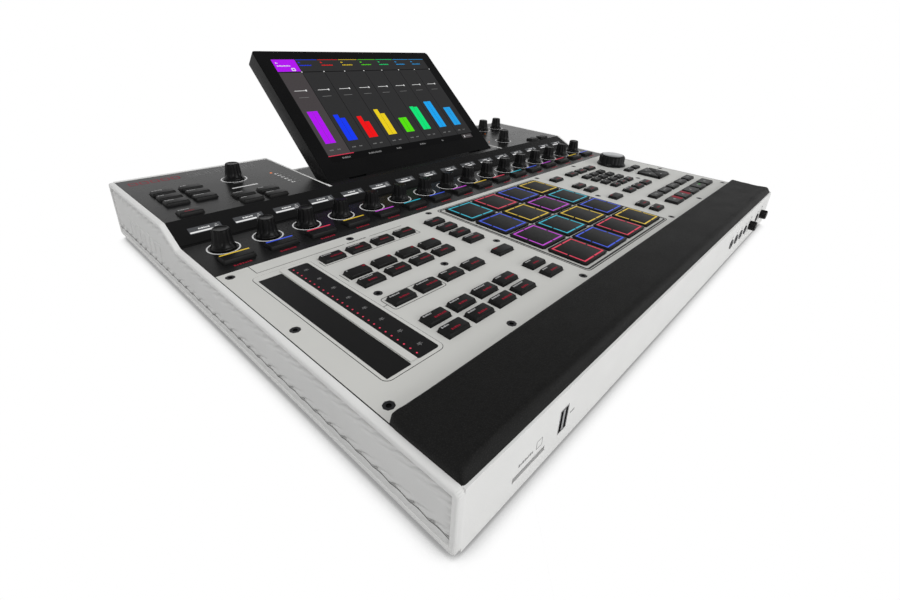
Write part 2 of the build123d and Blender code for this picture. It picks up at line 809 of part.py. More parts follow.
# ---------------------------------------------------------------- encoder and deck knobs
encoder_blank = fluted_knob(
    encoder_skirt_radius,
    encoder_waist_radius,
    encoder_top_radius,
    encoder_skirt_height,
    encoder_height,
    encoder_flutes,
)
for index in range(encoder_count):
    with BuildPart() as encoder_knob:
        with Locations((encoder_x(index), encoder_y, panel_z + knob_lift)):
            add(encoder_blank)
    export(encoder_knob.part, f"encoder_knob_{index + 1:02d}")

with BuildPart() as deck_knob_left:
    with Locations((deck_knob_left_place[0], deck_y + deck_knob_left_place[1], deck_z + knob_lift)):
        add(encoder_blank)
export(deck_knob_left.part, "deck_knob_left")

for index, (x, y) in enumerate(deck_knob_right_places):
    with BuildPart() as deck_knob_right:
        with Locations((x, deck_y + y, deck_z + knob_lift)):
            add(encoder_blank)
    export(deck_knob_right.part, f"deck_knob_right_{index + 1}")

# ---------------------------------------------------------------- data wheel with its inlaid disc
with BuildPart() as wheel_body:
    add(knob_foot(wheel_skirt_radius, wheel_body_radius, wheel_skirt_height))
    with BuildSketch(Plane.XY.offset(wheel_skirt_height)):
        Polygon(*fluted_outline(wheel_body_radius, wheel_flutes), align=None)
    extrude(amount=wheel_height - wheel_round - wheel_skirt_height)
    with BuildSketch(Plane.XY.offset(wheel_height - wheel_round)):
        RegularPolygon(wheel_body_radius - flute_depth, 2 * skirt_sides)
    crown_inset = wheel_body_radius - flute_depth - wheel_top_radius
    extrude(amount=wheel_round, taper=draft_angle(crown_inset, wheel_round))
    with BuildSketch(Plane.XY.offset(wheel_height)):
        RegularPolygon(wheel_disc_radius, 2 * skirt_sides)
    extrude(amount=wheel_disc_lift)

with BuildPart() as data_wheel:
    with Locations((wheel_x, pad_y + wheel_y, panel_z + knob_lift)):
        add(wheel_body.part)
export(data_wheel.part, "data_wheel")

# ---------------------------------------------------------------- front volume knobs
with BuildPart() as front_knob_blank:
    with BuildSketch(Plane.XZ):
        Polygon(*fluted_outline(front_knob_radius, front_knob_flutes), align=None)
    extrude(amount=front_knob_length)
    with BuildSketch(Plane.XZ):
        RegularPolygon(shaft_radius, shaft_sides)
    extrude(amount=-shaft_length)

for index, x in enumerate(front_knob_x):
    with BuildPart() as front_knob:
        with Locations((x, front_y - knob_lift, panel_z - front_control_drop)):
            add(front_knob_blank.part)
    export(front_knob.part, f"front_knob_{index + 1}")

# ---------------------------------------------------------------- sockets
with BuildPart() as phone_socket:
    with BuildSketch(Plane.XZ):
        RegularPolygon(phone_flange_radius, socket_sides)
    extrude(amount=phone_flange)
    with BuildSketch(Plane.XZ):
        RegularPolygon(phone_barrel_radius, socket_sides)
    extrude(amount=-phone_depth)
    with BuildSketch(Plane.XZ.offset(phone_flange)):
        RegularPolygon(phone_bore_radius, socket_sides)
    extrude(amount=-phone_depth, mode=Mode.SUBTRACT)

with BuildPart() as card_reader:
    with BuildSketch(Plane.XZ):
        Rectangle(card_slot_width + 2 * card_reader_skin, card_slot_height + 2 * card_reader_skin)
    extrude(amount=-card_reader_depth)
    with BuildSketch(Plane.XZ):
        Rectangle(card_slot_width - 2 * assembly_gap, card_slot_height - 2 * assembly_gap)
    extrude(amount=card_reader_skin - card_reader_depth, mode=Mode.SUBTRACT)

with BuildPart() as host_socket:
    with BuildSketch(Plane.XZ):
        Rectangle(host_socket_width, host_socket_height)
    extrude(amount=-host_socket_depth)
    with BuildSketch(Plane.XZ):
        inner_width = host_socket_width - 2 * host_socket_skin
        inner_height = host_socket_height - 2 * host_socket_skin
        Rectangle(inner_width, inner_height)
        Rectangle(host_tongue, inner_height - 2 * host_socket_skin, mode=Mode.SUBTRACT)
    extrude(amount=host_tongue - host_socket_depth, mode=Mode.SUBTRACT)

with BuildPart() as line_socket:
    with BuildSketch(Plane.XZ):
        RegularPolygon(line_flange_radius, socket_sides)
    extrude(amount=-phone_flange)
    with BuildSketch(Plane.XZ):
        RegularPolygon(line_barrel_radius, socket_sides)
    extrude(amount=line_depth)
    with BuildSketch(Plane.XZ.offset(-phone_flange)):
        RegularPolygon(line_bore_radius, socket_sides)
    extrude(amount=line_depth, mode=Mode.SUBTRACT)

with BuildPart() as round_socket:
    with BuildSketch(Plane.XZ):
        RegularPolygon(round_socket_radius, socket_sides)
    extrude(amount=round_socket_depth)
    with BuildSketch(Plane.XZ):
        RegularPolygon(round_recess_radius, socket_sides)
    extrude(amount=round_recess_depth, mode=Mode.SUBTRACT)

with BuildPart() as square_socket:
    with BuildSketch(Plane.XZ):
        Rectangle(square_socket_width, square_socket_height)
    extrude(amount=square_socket_depth)
    with BuildSketch(Plane.XZ):
        Rectangle(square_recess, square_recess)
    extrude(amount=square_recess_depth, mode=Mode.SUBTRACT)

with BuildPart() as power_socket:
    with BuildSketch(Plane.XZ):
        RegularPolygon(power_socket_radius, socket_sides)
    extrude(amount=power_socket_depth)
    with BuildSketch(Plane.XZ):
        RegularPolygon(power_bore_radius, socket_sides)
        RegularPolygon(power_pin_radius, shaft_sides, mode=Mode.SUBTRACT)
    extrude(amount=power_socket_depth - wall, mode=Mode.SUBTRACT)

with BuildPart() as sockets:
    with Locations(*[(x, front_y, panel_z - front_control_drop) for x in phone_socket_x]):
        add(phone_socket.part)
    with Locations((card_slot_x, front_y + wall, panel_z - card_slot_drop)):
        add(card_reader.part)
    with Locations((host_socket_x, front_y, panel_z - host_socket_drop)):
        add(host_socket.part)
    with Locations(*[(x, back_y, panel_z - back_socket_drop) for x in line_socket_x]):
        add(line_socket.part)
    with Locations(*[(x, back_y, panel_z - back_socket_drop) for x in round_socket_x]):
        add(round_socket.part)
    with Locations((square_socket_x, back_y, panel_z - back_socket_drop)):
        add(square_socket.part)
    with Locations((power_socket_x, back_y, panel_z - back_socket_drop)):
        add(power_socket.part)
export(sockets.part, "sockets")

# ---------------------------------------------------------------- screen, glass and hinge
hinge_place = (0, hinge_y, hinge_z)
hinge_plane = Plane(origin=hinge_place, x_dir=(1, 0, 0), z_dir=(0, -math.sin(tilt), math.cos(tilt)))
hinge_side = Plane(origin=hinge_place, x_dir=(0, math.cos(tilt), math.sin(tilt)), z_dir=(1, 0, 0))

with BuildPart() as screen_shell:
    with BuildSketch(hinge_side):
        with Locations((screen_reach / 2, 0)):
            Rectangle(screen_reach, screen_thickness)
        Circle(screen_half)
    extrude(amount=screen_half_width, both=True)
    with BuildSketch(hinge_plane.offset(screen_half)):
        with Locations((0, (glass_start + screen_reach - glass_rim) / 2)):
            Rectangle(2 * (screen_half_width - glass_rim), screen_reach - glass_rim - glass_start)
    extrude(amount=-glass_thickness, mode=Mode.SUBTRACT)
    with BuildSketch(hinge_plane.offset(-screen_thickness)):
        with Locations((-hinge_spacing / 2, 0), (hinge_spacing / 2, 0)):
            Rectangle(hinge_block_width + 2 * hinge_block_gap, 2 * hinge_notch_reach)
    extrude(amount=2 * screen_thickness, mode=Mode.SUBTRACT)
    with BuildSketch(hinge_side):
        Circle(hinge_pin_radius + shaft_clearance)
    pin_reach = hinge_spacing / 2 + hinge_block_width / 2 + hinge_pin_overhang + assembly_gap
    extrude(amount=pin_reach, both=True, mode=Mode.SUBTRACT)
    with BuildSketch(hinge_side):
        Circle(hinge_pin_radius + shaft_clearance)
    plug_reach = hinge_spacing / 2 - hinge_block_width / 2 - hinge_pin_overhang - assembly_gap
    extrude(amount=plug_reach, both=True)
export(screen_shell.part, "screen_shell")

with BuildPart() as screen_glass:
    with BuildSketch(hinge_plane.offset(screen_half)):
        with Locations((0, (glass_start + screen_reach - glass_rim) / 2)):
            Rectangle(
                2 * (screen_half_width - glass_rim - assembly_gap),
                screen_reach - glass_rim - glass_start - 2 * assembly_gap,
            )
    extrude(amount=-glass_thickness)
export(screen_glass.part, "screen_glass")

with BuildPart() as hinge_brackets:
    for side in (-1, 1):
        with BuildSketch(Plane.YZ.offset(side * hinge_spacing / 2)):
            with Locations((hinge_y, hinge_z)):
                Circle(hinge_eye_radius)
            with Locations((hinge_y, (hinge_z + well_floor_z) / 2)):
                Rectangle(2 * hinge_eye_radius, hinge_z - well_floor_z)
        extrude(amount=hinge_block_width / 2, both=True)
        with BuildSketch(Plane.YZ.offset(side * hinge_spacing / 2)):
            with Locations((hinge_y, hinge_z)):
                Circle(hinge_pin_radius)
        extrude(amount=hinge_block_width / 2 + hinge_pin_overhang, both=True)
export(hinge_brackets.part, "hinge_brackets")
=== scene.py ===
"""Looks of a desk-top drum machine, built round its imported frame.

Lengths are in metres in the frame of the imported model: +X to the player's
right, +Y away from the player, +Z up, with the table at Z = 0.
"""
import json
import logging
import math
from collections.abc import Callable
from dataclasses import dataclass
from enum import Enum

import bmesh
import bpy
from mathutils import Matrix, Vector


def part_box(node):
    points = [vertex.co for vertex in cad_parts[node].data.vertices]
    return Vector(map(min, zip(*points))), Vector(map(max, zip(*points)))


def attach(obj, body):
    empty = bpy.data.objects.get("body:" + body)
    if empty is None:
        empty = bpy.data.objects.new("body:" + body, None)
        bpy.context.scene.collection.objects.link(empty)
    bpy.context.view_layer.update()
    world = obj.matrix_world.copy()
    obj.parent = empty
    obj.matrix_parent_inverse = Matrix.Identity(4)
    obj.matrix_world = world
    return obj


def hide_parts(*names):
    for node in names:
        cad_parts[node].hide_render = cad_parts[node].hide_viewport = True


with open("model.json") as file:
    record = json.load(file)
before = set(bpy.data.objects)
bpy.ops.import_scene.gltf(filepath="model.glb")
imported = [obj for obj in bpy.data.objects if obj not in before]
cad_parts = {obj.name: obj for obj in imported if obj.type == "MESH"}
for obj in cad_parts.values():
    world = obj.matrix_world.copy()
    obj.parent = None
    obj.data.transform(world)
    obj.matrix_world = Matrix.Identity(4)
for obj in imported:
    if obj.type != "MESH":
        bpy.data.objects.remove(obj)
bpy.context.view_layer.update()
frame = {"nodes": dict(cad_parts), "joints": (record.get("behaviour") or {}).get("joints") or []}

MM = 0.001
WHITE = (1.0, 1.0, 1.0, 1.0)
log = logging.getLogger("drum_machine")

Point = tuple[float, float, float]
Place = tuple[float, float]
Test = Callable[[Vector, Vector], bool]


class Colour(Enum):
    """Named colours of the machine, as linear red, green and blue."""

    PALE_PAINT = (0.60, 0.60, 0.575)
    WHITE_PAINT = (0.74, 0.74, 0.73)
    CLOTH_PAINT = (0.665, 0.665, 0.657)
    DECK_BLACK = (0.009, 0.009, 0.0092)
    KEY_BLACK = (0.0085, 0.0085, 0.0085)
    KNOB_BLACK = (0.0055, 0.0055, 0.0058)
    RUBBER_BLACK = (0.0105, 0.0105, 0.0105)
    LEATHER_BLACK = (0.0095, 0.0095, 0.0092)
    GLASS_BLACK = (0.004, 0.004, 0.0042)
    PICTURE_GREY = (0.021, 0.021, 0.0215)
    PICTURE_PALE = (0.050, 0.044, 0.046)
    WINDOW_GREY = (0.050, 0.052, 0.055)
    KEY_TOP = (0.060, 0.060, 0.060)
    BOARD_GREEN = (0.02, 0.10, 0.04)
    STEEL = (0.42, 0.42, 0.43)
    DARK_STEEL = (0.07, 0.07, 0.075)
    PALE_METAL = (0.55, 0.56, 0.57)
    INK_WHITE = (0.70, 0.70, 0.70)
    INK_PALE = (0.42, 0.42, 0.42)
    THREAD = (0.06, 0.06, 0.058)
    INK_GREY = (0.20, 0.20, 0.20)
    INK_DARK = (0.03, 0.03, 0.03)
    RED = (0.55, 0.035, 0.075)
    PRINT_RED = (0.26, 0.006, 0.022)
    BLUE = (0.035, 0.075, 0.55)
    YELLOW = (0.56, 0.39, 0.03)
    MAGENTA = (0.42, 0.045, 0.50)
    CYAN = (0.02, 0.36, 0.47)
    GREEN = (0.06, 0.55, 0.06)
    PURPLE = (0.46, 0.010, 0.90)
    DEEP_BLUE = (0.010, 0.045, 0.95)
    PURE_RED = (0.90, 0.008, 0.010)
    GOLD = (0.86, 0.64, 0.015)
    LIME = (0.10, 0.78, 0.006)
    SEA_GREEN = (0.006, 0.80, 0.20)
    SKY_BLUE = (0.014, 0.38, 0.90)
    LIGHT_BLUE = (0.020, 0.36, 0.82)
    ORANGE = (0.75, 0.16, 0.01)


# ---------------- node graphs
class Value:
    """A number socket of a material, so that sums are written as Python expressions."""

    def __init__(self, graph: "Graph", socket: bpy.types.NodeSocket) -> None:
        """Wrap a socket.

        Args:
            graph: The graph that the socket belongs to.
            socket: The output socket that carries the number.
        """
        self.graph = graph
        self.socket = socket

    def _sum(self, operation: str, other: object) -> "Value":
        """Add one Math node to this and another number or socket."""
        return self.graph.node("ShaderNodeMath", {"operation": operation}, {0: self, 1: other})

    def __add__(self, other: object) -> "Value":
        """Sum of this and other."""
        return self._sum("ADD", other)

    __radd__ = __add__

    def __sub__(self, other: object) -> "Value":
        """This less other."""
        return self._sum("SUBTRACT", other)

    def __mul__(self, other: object) -> "Value":
        """Product of this and other."""
        return self._sum("MULTIPLY", other)

    def __gt__(self, other: object) -> "Value":
        """One where this is more than other, and nothing elsewhere."""
        return self._sum("GREATER_THAN", other)

    def __lt__(self, other: object) -> "Value":
        """One where this is less than other, and nothing elsewhere."""
        return self._sum("LESS_THAN", other)

    def __abs__(self) -> "Value":
        """This without its sign."""
        return self._sum("ABSOLUTE", 0.0)


class Graph:
    """The nodes of one material or of the world."""

    def __init__(self, tree: bpy.types.NodeTree) -> None:
        """Start from an empty tree.

        Args:
            tree: The node tree, whose nodes are removed.
        """
        self.tree = tree
        tree.nodes.clear()

    def node(self, kind: str, settings: dict, inputs: dict, output: int | str = 0) -> Value:
        """Add a node.

        Args:
            kind: The node's type name.
            settings: Its properties, which are set first. "stops" holds a ramp's stops.
            inputs: Numbers, colours or sockets for its inputs, by name or place.
            output: The name or place of the output that is wanted.

        Returns:
            The wanted output.
        """
        made = self.tree.nodes.new(kind)
        for key, value in settings.items():
            if key == "stops":
                self._set_stops(made.color_ramp, value)
            else:
                setattr(made, key, value)
        for key, value in inputs.items():
            socket = self._find(made.inputs, key)
            if isinstance(value, Value):
                self.tree.links.new(value.socket, socket)
            elif isinstance(value, Colour):
                socket.default_value = (*value.value, 1.0)
            else:
                socket.default_value = value
        return Value(self, self._find(made.outputs, output)) if made.outputs else Value(self, None)

    @staticmethod
    def _find(sockets: bpy.types.bpy_prop_collection, key: int | str) -> bpy.types.NodeSocket:
        """Find a socket.

        Args:
            sockets: The node's inputs or outputs.
            key: The socket's place, identifier or name.

        Returns:
            The socket.
        """
        if isinstance(key, int):
            return sockets[key]
        for socket in sockets:
            if socket.identifier == key:
                return socket
        return sockets[key]

    @staticmethod
    def _set_stops(ramp: bpy.types.ColorRamp, stops: list) -> None:
        """Set a ramp's stops.

        Args:
            ramp: The ramp.
            stops: Pairs of place and grey level.
        """
        while len(ramp.elements) < len(stops):
            ramp.elements.new(1.0)
        for element, (place, level) in zip(ramp.elements, stops):
            element.position = place
            element.color = (level, level, level, 1.0)

    def place(self) -> Value:
        """The point on the piece, in metres."""
        return self.node("ShaderNodeTexCoord", {}, {}, "Object")

    def axis(self, point: Value, name: str) -> Value:
        """One coordinate, "X", "Y" or "Z", of a point."""
        return self.node("ShaderNodeSeparateXYZ", {}, {"Vector": point}, name)

    def noise(self, size: float, detail: float = 3.0) -> Value:
        """Soft noise with blotches of about one size.

        Args:
            size: The size of a blotch in metres.
            detail: How much finer noise is laid over it.

        Returns:
            The noise, from nothing to one.
        """
        inputs = {"Vector": self.place(), "Scale": 1 / size, "Detail": detail}
        return self.node("ShaderNodeTexNoise", {}, inputs, "Fac")

    def ramp(self, value: Value, stops: list) -> Value:
        """Map a number through a ramp of grey stops."""
        return self.node("ShaderNodeValToRGB", {"stops": stops}, {"Fac": value}, "Color")

    def blend(self, share: object, first: object, second: object) -> Value:
        """Mix two colours: first where share is nothing, second where it is one."""
        inputs = {"Factor_Float": share, "A_Color": first, "B_Color": second}
        return self.node("ShaderNodeMix", {"data_type": "RGBA"}, inputs, "Result_Color")

    def tint(self, share: object, colour: Colour, low: float, high: float) -> Value:
        """Mix a darker and a lighter form of one colour."""
        return self.blend(share, shade(colour, low), shade(colour, high))

    def bump(self, height: Value, depth: float) -> Value:
        """Relief of a given depth in metres from a height map."""
        inputs = {"Height": height, "Distance": depth, "Strength": 1.0}
        return self.node("ShaderNodeBump", {}, inputs, "Normal")

    def surface(self, shader: Value) -> None:
        """Join a shader to the material's output."""
        self.node("ShaderNodeOutputMaterial", {}, {"Surface": shader})

    def skin(self, inputs: dict) -> None:
        """Make the material one Principled shader with these inputs."""
        self.surface(self.node("ShaderNodeBsdfPrincipled", {}, inputs))


def shade(colour: Colour, factor: float) -> tuple[float, float, float, float]:
    """A lighter or darker form of a colour.

    Args:
        colour: The colour to start from.
        factor: How many times as bright the result is.

    Returns:
        Red, green, blue and alpha.
    """
    red, green, blue = colour.value
    return (min(red * factor, 1.0), min(green * factor, 1.0), min(blue * factor, 1.0), 1.0)


# ---------------- finishes
@dataclass(frozen=True)
class Finish:
    """A surface finish, made once as a material and shared by its pieces."""

    name: str

    def material(self) -> bpy.types.Material:
        """The finish as a material.

        Returns:
            The material, made at its first use.
        """
        found = bpy.data.materials.get(self.name)
        if found:
            return found
        made = bpy.data.materials.new(self.name)
        made.use_nodes = True
        self.paint(Graph(made.node_tree))
        return made

    def paint(self, graph: Graph) -> None:
        """Lay out the finish's nodes."""
        raise NotImplementedError


@dataclass(frozen=True)
class Grained(Finish):
    """Paint or moulded plastic with a fine grain, faint blotches and uneven gloss."""

    colour: Colour
    roughness: float = 0.5
    gloss_spread: float = 0.05
    grain: float = 0.3 * MM
    depth: float = 0.01 * MM
    mottle: float = 0.08
    metallic: float = 0.0
    shine: float = 0.15
    blotch_size: float = 24 * MM
    gloss_size: float = 6 * MM

    def paint(self, graph: Graph) -> None:
        """Lay out grain, blotches and gloss.

        Args:
            graph: The material's empty graph.
        """
        blotch = graph.noise(self.blotch_size)
        speck = graph.noise(self.grain, 2.0)
        tint = graph.ramp(blotch * 0.5 + speck * 0.5, [(0.3, 0.0), (0.7, 1.0)])
        inputs = {
            "Base Color": graph.tint(tint, self.colour, 1 - self.mottle, 1 + self.mottle),
            "Roughness": self.roughness + (graph.noise(self.gloss_size) - 0.5) * (2 * self.gloss_spread),
            "Metallic": self.metallic,
            "Specular IOR Level": self.shine,
            "Normal": graph.bump(speck, self.depth),
        }
        graph.skin(inputs)


@dataclass(frozen=True)
class DeckPaint(Finish):
    """Satin black paint of the rear moulding, with its pale rims left in case paint."""

    rim_inner: float = 128.5 * MM
    rim_outer: float = 131.3 * MM
    ramp_top: float = 75.1 * MM
    back_rim: float = 194.5 * MM
    foot_line: float = 50.1 * MM
    line_width: float = 0.55 * MM
    line_gap: float = 1.5 * MM
    line_dark: float = 0.8
    roughness: float = 0.27
    rim_rougher: float = 0.2
    shine: float = 0.13
    grain: float = 0.25 * MM
    grain_depth: float = 0.008 * MM
    wear_size: float = 40 * MM

    def paint(self, graph: Graph) -> None:
        """Lay out the black paint, the pale rims and the two thin lines at the ramp's foot.

        Args:
            graph: The material's empty graph.
        """
        point = graph.place()
        across = abs(graph.axis(point, "X"))
        along = graph.axis(point, "Y")
        beside = (across > self.rim_inner) * (across < self.rim_outer) * (along > self.ramp_top)
        rim = graph.node("ShaderNodeMath", {"operation": "MAXIMUM"}, {0: beside, 1: along > self.back_rim})
        speck = graph.noise(self.grain, 2.0)
        wear = graph.noise(self.wear_size)
        black = graph.tint(wear, Colour.DECK_BLACK, 0.85, 1.2)
        white = graph.tint(speck, Colour.WHITE_PAINT, 0.96, 1.02)
        first = abs(along - self.foot_line) < self.line_width
        second = abs(along - (self.foot_line + self.line_gap)) < self.line_width
        lined = graph.blend((first + second) * self.line_dark, black, shade(Colour.DECK_BLACK, 0.2))
        inputs = {
            "Base Color": graph.blend(rim, lined, white),
            "Roughness": self.roughness + rim * self.rim_rougher + (wear - 0.5) * 0.08,
            "Specular IOR Level": self.shine,
            "Normal": graph.bump(speck, self.grain_depth),
        }
        graph.skin(inputs)


@dataclass(frozen=True)
class Leatherette(Finish):
    """Black coated cloth with a fine pebbled grain."""

    colour: Colour = Colour.LEATHER_BLACK
    pebble: float = 0.9 * MM
    pebble_depth: float = 0.09 * MM
    fine_grain: float = 0.3 * MM
    patch: float = 18 * MM
    roughness: float = 0.56
    roughness_spread: float = 0.12
    shine: float = 0.13

    def paint(self, graph: Graph) -> None:
        """Lay out pebbles and the creases between them, with painted shade in the creases and painted
        highlight on the pebbles.

        Args:
            graph: The material's empty graph.
        """
        cells = graph.node(
            "ShaderNodeTexVoronoi",
            {"feature": "DISTANCE_TO_EDGE"},
            {"Vector": graph.place(), "Scale": 1 / self.pebble, "Randomness": 1.0},
            "Distance",
        )
        crease = graph.ramp(cells, [(0.0, 0.0), (0.35, 1.0)])
        height = graph.blend(0.25, crease, graph.noise(self.fine_grain, 2.0))
        inputs = {
            # Base colour darker in the creases and lighter on the pebble tops: painted shade and painted
            # highlight.
            "Base Color": graph.tint(crease, self.colour, 0.55, 1.25),
            "Roughness": self.roughness + (graph.noise(self.patch) - 0.5) * self.roughness_spread,
            "Specular IOR Level": self.shine,
            "Normal": graph.bump(height, self.pebble_depth),
        }
        graph.skin(inputs)


@dataclass(frozen=True)
class Glow(Finish):
    """A mark that gives off light, a little unevenly: a lamp or picture behind a clear skin, or printed ink
    with a painted glow.
    """

    colour: Colour
    strength: float = 1.0
    body: float = 0.5
    roughness: float = 0.3
    shine: float = 0.1
    uneven_size: float = 1.2 * MM

    def paint(self, graph: Graph) -> None:
        """Lay out the light and its soft unevenness.

        Args:
            graph: The material's empty graph.
        """
        uneven = graph.noise(self.uneven_size, 1.0)
        inputs = {
            "Base Color": graph.tint(uneven, self.colour, self.body * 0.9, self.body),
            "Roughness": self.roughness,
            "Specular IOR Level": self.shine,
            "Emission Color": graph.tint(uneven, self.colour, 0.82, 1.12),
            "Emission Strength": self.strength,
        }
        graph.skin(inputs)


@dataclass(frozen=True)
class Glass(Finish):
    """Smooth black glass with a faint haze of fingertips."""

    colour: Colour = Colour.GLASS_BLACK
    roughness: float = 0.06
    haze_roughness: float = 0.06
    haze_size: float = 30 * MM
    shine: float = 0.25

    def paint(self, graph: Graph) -> None:
        """Lay out the haze over the black.

        Args:
            graph: The material's empty graph.
        """
        haze = graph.noise(self.haze_size, 4.0)
        inputs = {
            "Base Color": graph.tint(haze, self.colour, 0.8, 1.5),
            "Roughness": self.roughness + haze * self.haze_roughness,
            "Specular IOR Level": self.shine,
        }
        graph.skin(inputs)


@dataclass(frozen=True)
class CircuitBoard(Finish):
    """Green solder mask with a lattice of copper runs."""

    pitch: float = 5 * MM
    run_depth: float = 0.03 * MM
    roughness: float = 0.35

    def paint(self, graph: Graph) -> None:
        """Lay out the copper runs under the mask.

        Args:
            graph: The material's empty graph.
        """
        cells = graph.node(
            "ShaderNodeTexVoronoi",
            {"feature": "F1", "distance": "MANHATTAN"},
            {"Vector": graph.place(), "Scale": 1 / self.pitch},
            "Distance",
        )
        runs = graph.ramp(cells, [(0.45, 0.0), (0.5, 1.0)])
        inputs = {
            "Base Color": graph.tint(runs, Colour.BOARD_GREEN, 1.0, 1.8),
            "Roughness": self.roughness,
            "Normal": graph.bump(runs, self.run_depth),
        }
        graph.skin(inputs)


FINE = 0.2 * MM
MOULDED = 0.25 * MM
COARSE = 0.45 * MM


def ink(colour: Colour) -> Grained:
    """A thin printed ink that takes its name from its colour."""
    name = colour.name.lower()
    return Grained(name, colour, gloss_spread=0.03, grain=FINE, depth=0.004 * MM, mottle=0.05)


def picture(name: str, colour: Colour, strength: float, body: float) -> Glow:
    """A lit part of the screen's picture, behind smooth glass."""
    return Glow(f"picture_{name}", colour, strength, body, roughness=0.14)


CASE_PAINT = Grained(
    "case_paint_fine", Colour.PALE_PAINT, roughness=0.46, gloss_spread=0.04, depth=0.012 * MM, mottle=0.02,
    shine=0.4,
)
SHELL_PAINT = Grained(
    "shell_paint_grained", Colour.WHITE_PAINT, roughness=0.52, gloss_spread=0.04, grain=COARSE,
    depth=0.05 * MM, mottle=0.03, shine=0.35,
)
CLOTH_PAINT = Grained(
    "cloth_paint", Colour.CLOTH_PAINT, roughness=0.6, gloss_spread=0.04, grain=COARSE, depth=0.04 * MM,
    mottle=0.03, shine=0.25,
)
DECK = DeckPaint("deck_satin_black")
LEATHER = Leatherette("wrist_leatherette")
KEY_RUBBER = Grained("key_rubber", Colour.KEY_BLACK, roughness=0.42, grain=MOULDED)
PAD_RUBBER = Grained("pad_rubber", Colour.RUBBER_BLACK, depth=0.012 * MM)
FOOT_RUBBER = Grained(
    "foot_rubber", Colour.KEY_BLACK, roughness=0.7, grain=0.5 * MM, depth=0.03 * MM, mottle=0.1
)
KEY_TOP_GREY = Grained(
    "key_top_grey", Colour.KEY_TOP, gloss_spread=0.04, grain=MOULDED, depth=0.008 * MM, mottle=0.06
)
KNOB_PLASTIC = Grained("knob_plastic", Colour.KNOB_BLACK, roughness=0.24, depth=0.004 * MM)
KNOB_GRIP = Grained("knob_grip", Colour.KNOB_BLACK, roughness=0.36, depth=0.006 * MM)
SHELL_PLASTIC = Grained("screen_shell_plastic", Colour.KNOB_BLACK, roughness=0.34)
SOCKET_PLASTIC = Grained("socket_plastic", Colour.DARK_STEEL, roughness=0.4, gloss_spread=0.06)
# Near black for the screws' hexagon sockets: painted shade in the recess.
SCREW_RECESS_SHADE = Grained("socket_dark", Colour.GLASS_BLACK, grain=FINE, depth=0.006 * MM, mottle=0.1)
STRIP_PLASTIC = Grained(
    "touch_strip_plastic", Colour.DECK_BLACK, roughness=0.38, gloss_spread=0.04, grain=MOULDED,
    depth=0.008 * MM,
)
SCREW_STEEL = Grained(
    "screw_black_steel", Colour.DARK_STEEL, roughness=0.35, gloss_spread=0.08, grain=FINE, depth=0.006 * MM,
    mottle=0.1, metallic=0.9,
)
BRIGHT_STEEL = Grained(
    "bright_steel", Colour.STEEL, roughness=0.28, gloss_spread=0.06, grain=FINE, depth=0.004 * MM,
    mottle=0.05, metallic=1.0,
)
DISC_METAL = Grained(
    "wheel_disc_metal", Colour.PALE_METAL, roughness=0.33, grain=FINE, depth=0.004 * MM, mottle=0.04,
    metallic=0.75,
)
# Dark grey for the line of painted shade in the cheeks' seam groove.
SEAM_SHADE_GREY = Grained(
    "thread_grey", Colour.THREAD, roughness=0.7, gloss_spread=0.03, grain=FINE, mottle=0.05
)
INK_WHITE = ink(Colour.INK_WHITE)
INK_PALE = ink(Colour.INK_PALE)
INK_GREY = ink(Colour.INK_GREY)
# Dark ink for the plate's print, also used for painted shade in its gaps and seams.
INK_DARK = ink(Colour.INK_DARK)
BLACK_GLASS = Glass("display_glass")
WINDOW_GLASS = Glass("window_glass", Colour.PICTURE_GREY, 0.12)
BOARD = CircuitBoard("main_board_mask")
# Printed red and green ink with a faint emission: painted glow, since the ink is no lamp.
RED_PRINT_PAINTED_GLOW = Glow("red_print", Colour.PRINT_RED, strength=0.5, roughness=0.5)
GREEN_PRINT_PAINTED_GLOW = Glow("green_print", Colour.GREEN, strength=0.4, roughness=0.5)
RED_LAMP = Glow("red_lamp", Colour.RED, body=0.6)
ORANGE_LAMP = Glow("orange_lamp", Colour.ORANGE, strength=1.3, body=0.6)
WINDOW_BAND = Glow("window_band", Colour.WINDOW_GREY, body=0.6, roughness=0.2)
WINDOW_LIGHT = Glow("window_light", Colour.INK_WHITE, strength=0.9, body=0.3, roughness=0.2)
PICTURE_GROUND = picture("ground", Colour.PICTURE_GREY, 1.0, 0.5)
PICTURE_DARK = picture("dark", Colour.GLASS_BLACK, 0.6, 0.8)
PICTURE_PALE = picture("pale", Colour.PICTURE_PALE, 1.0, 0.3)
PICTURE_WHITE = picture("white", Colour.INK_WHITE, 0.95, 0.2)
PICTURE_DIM = picture("dim", Colour.INK_GREY, 0.8, 0.2)
PICTURE_RED = picture("red", Colour.RED, 1.1, 0.2)


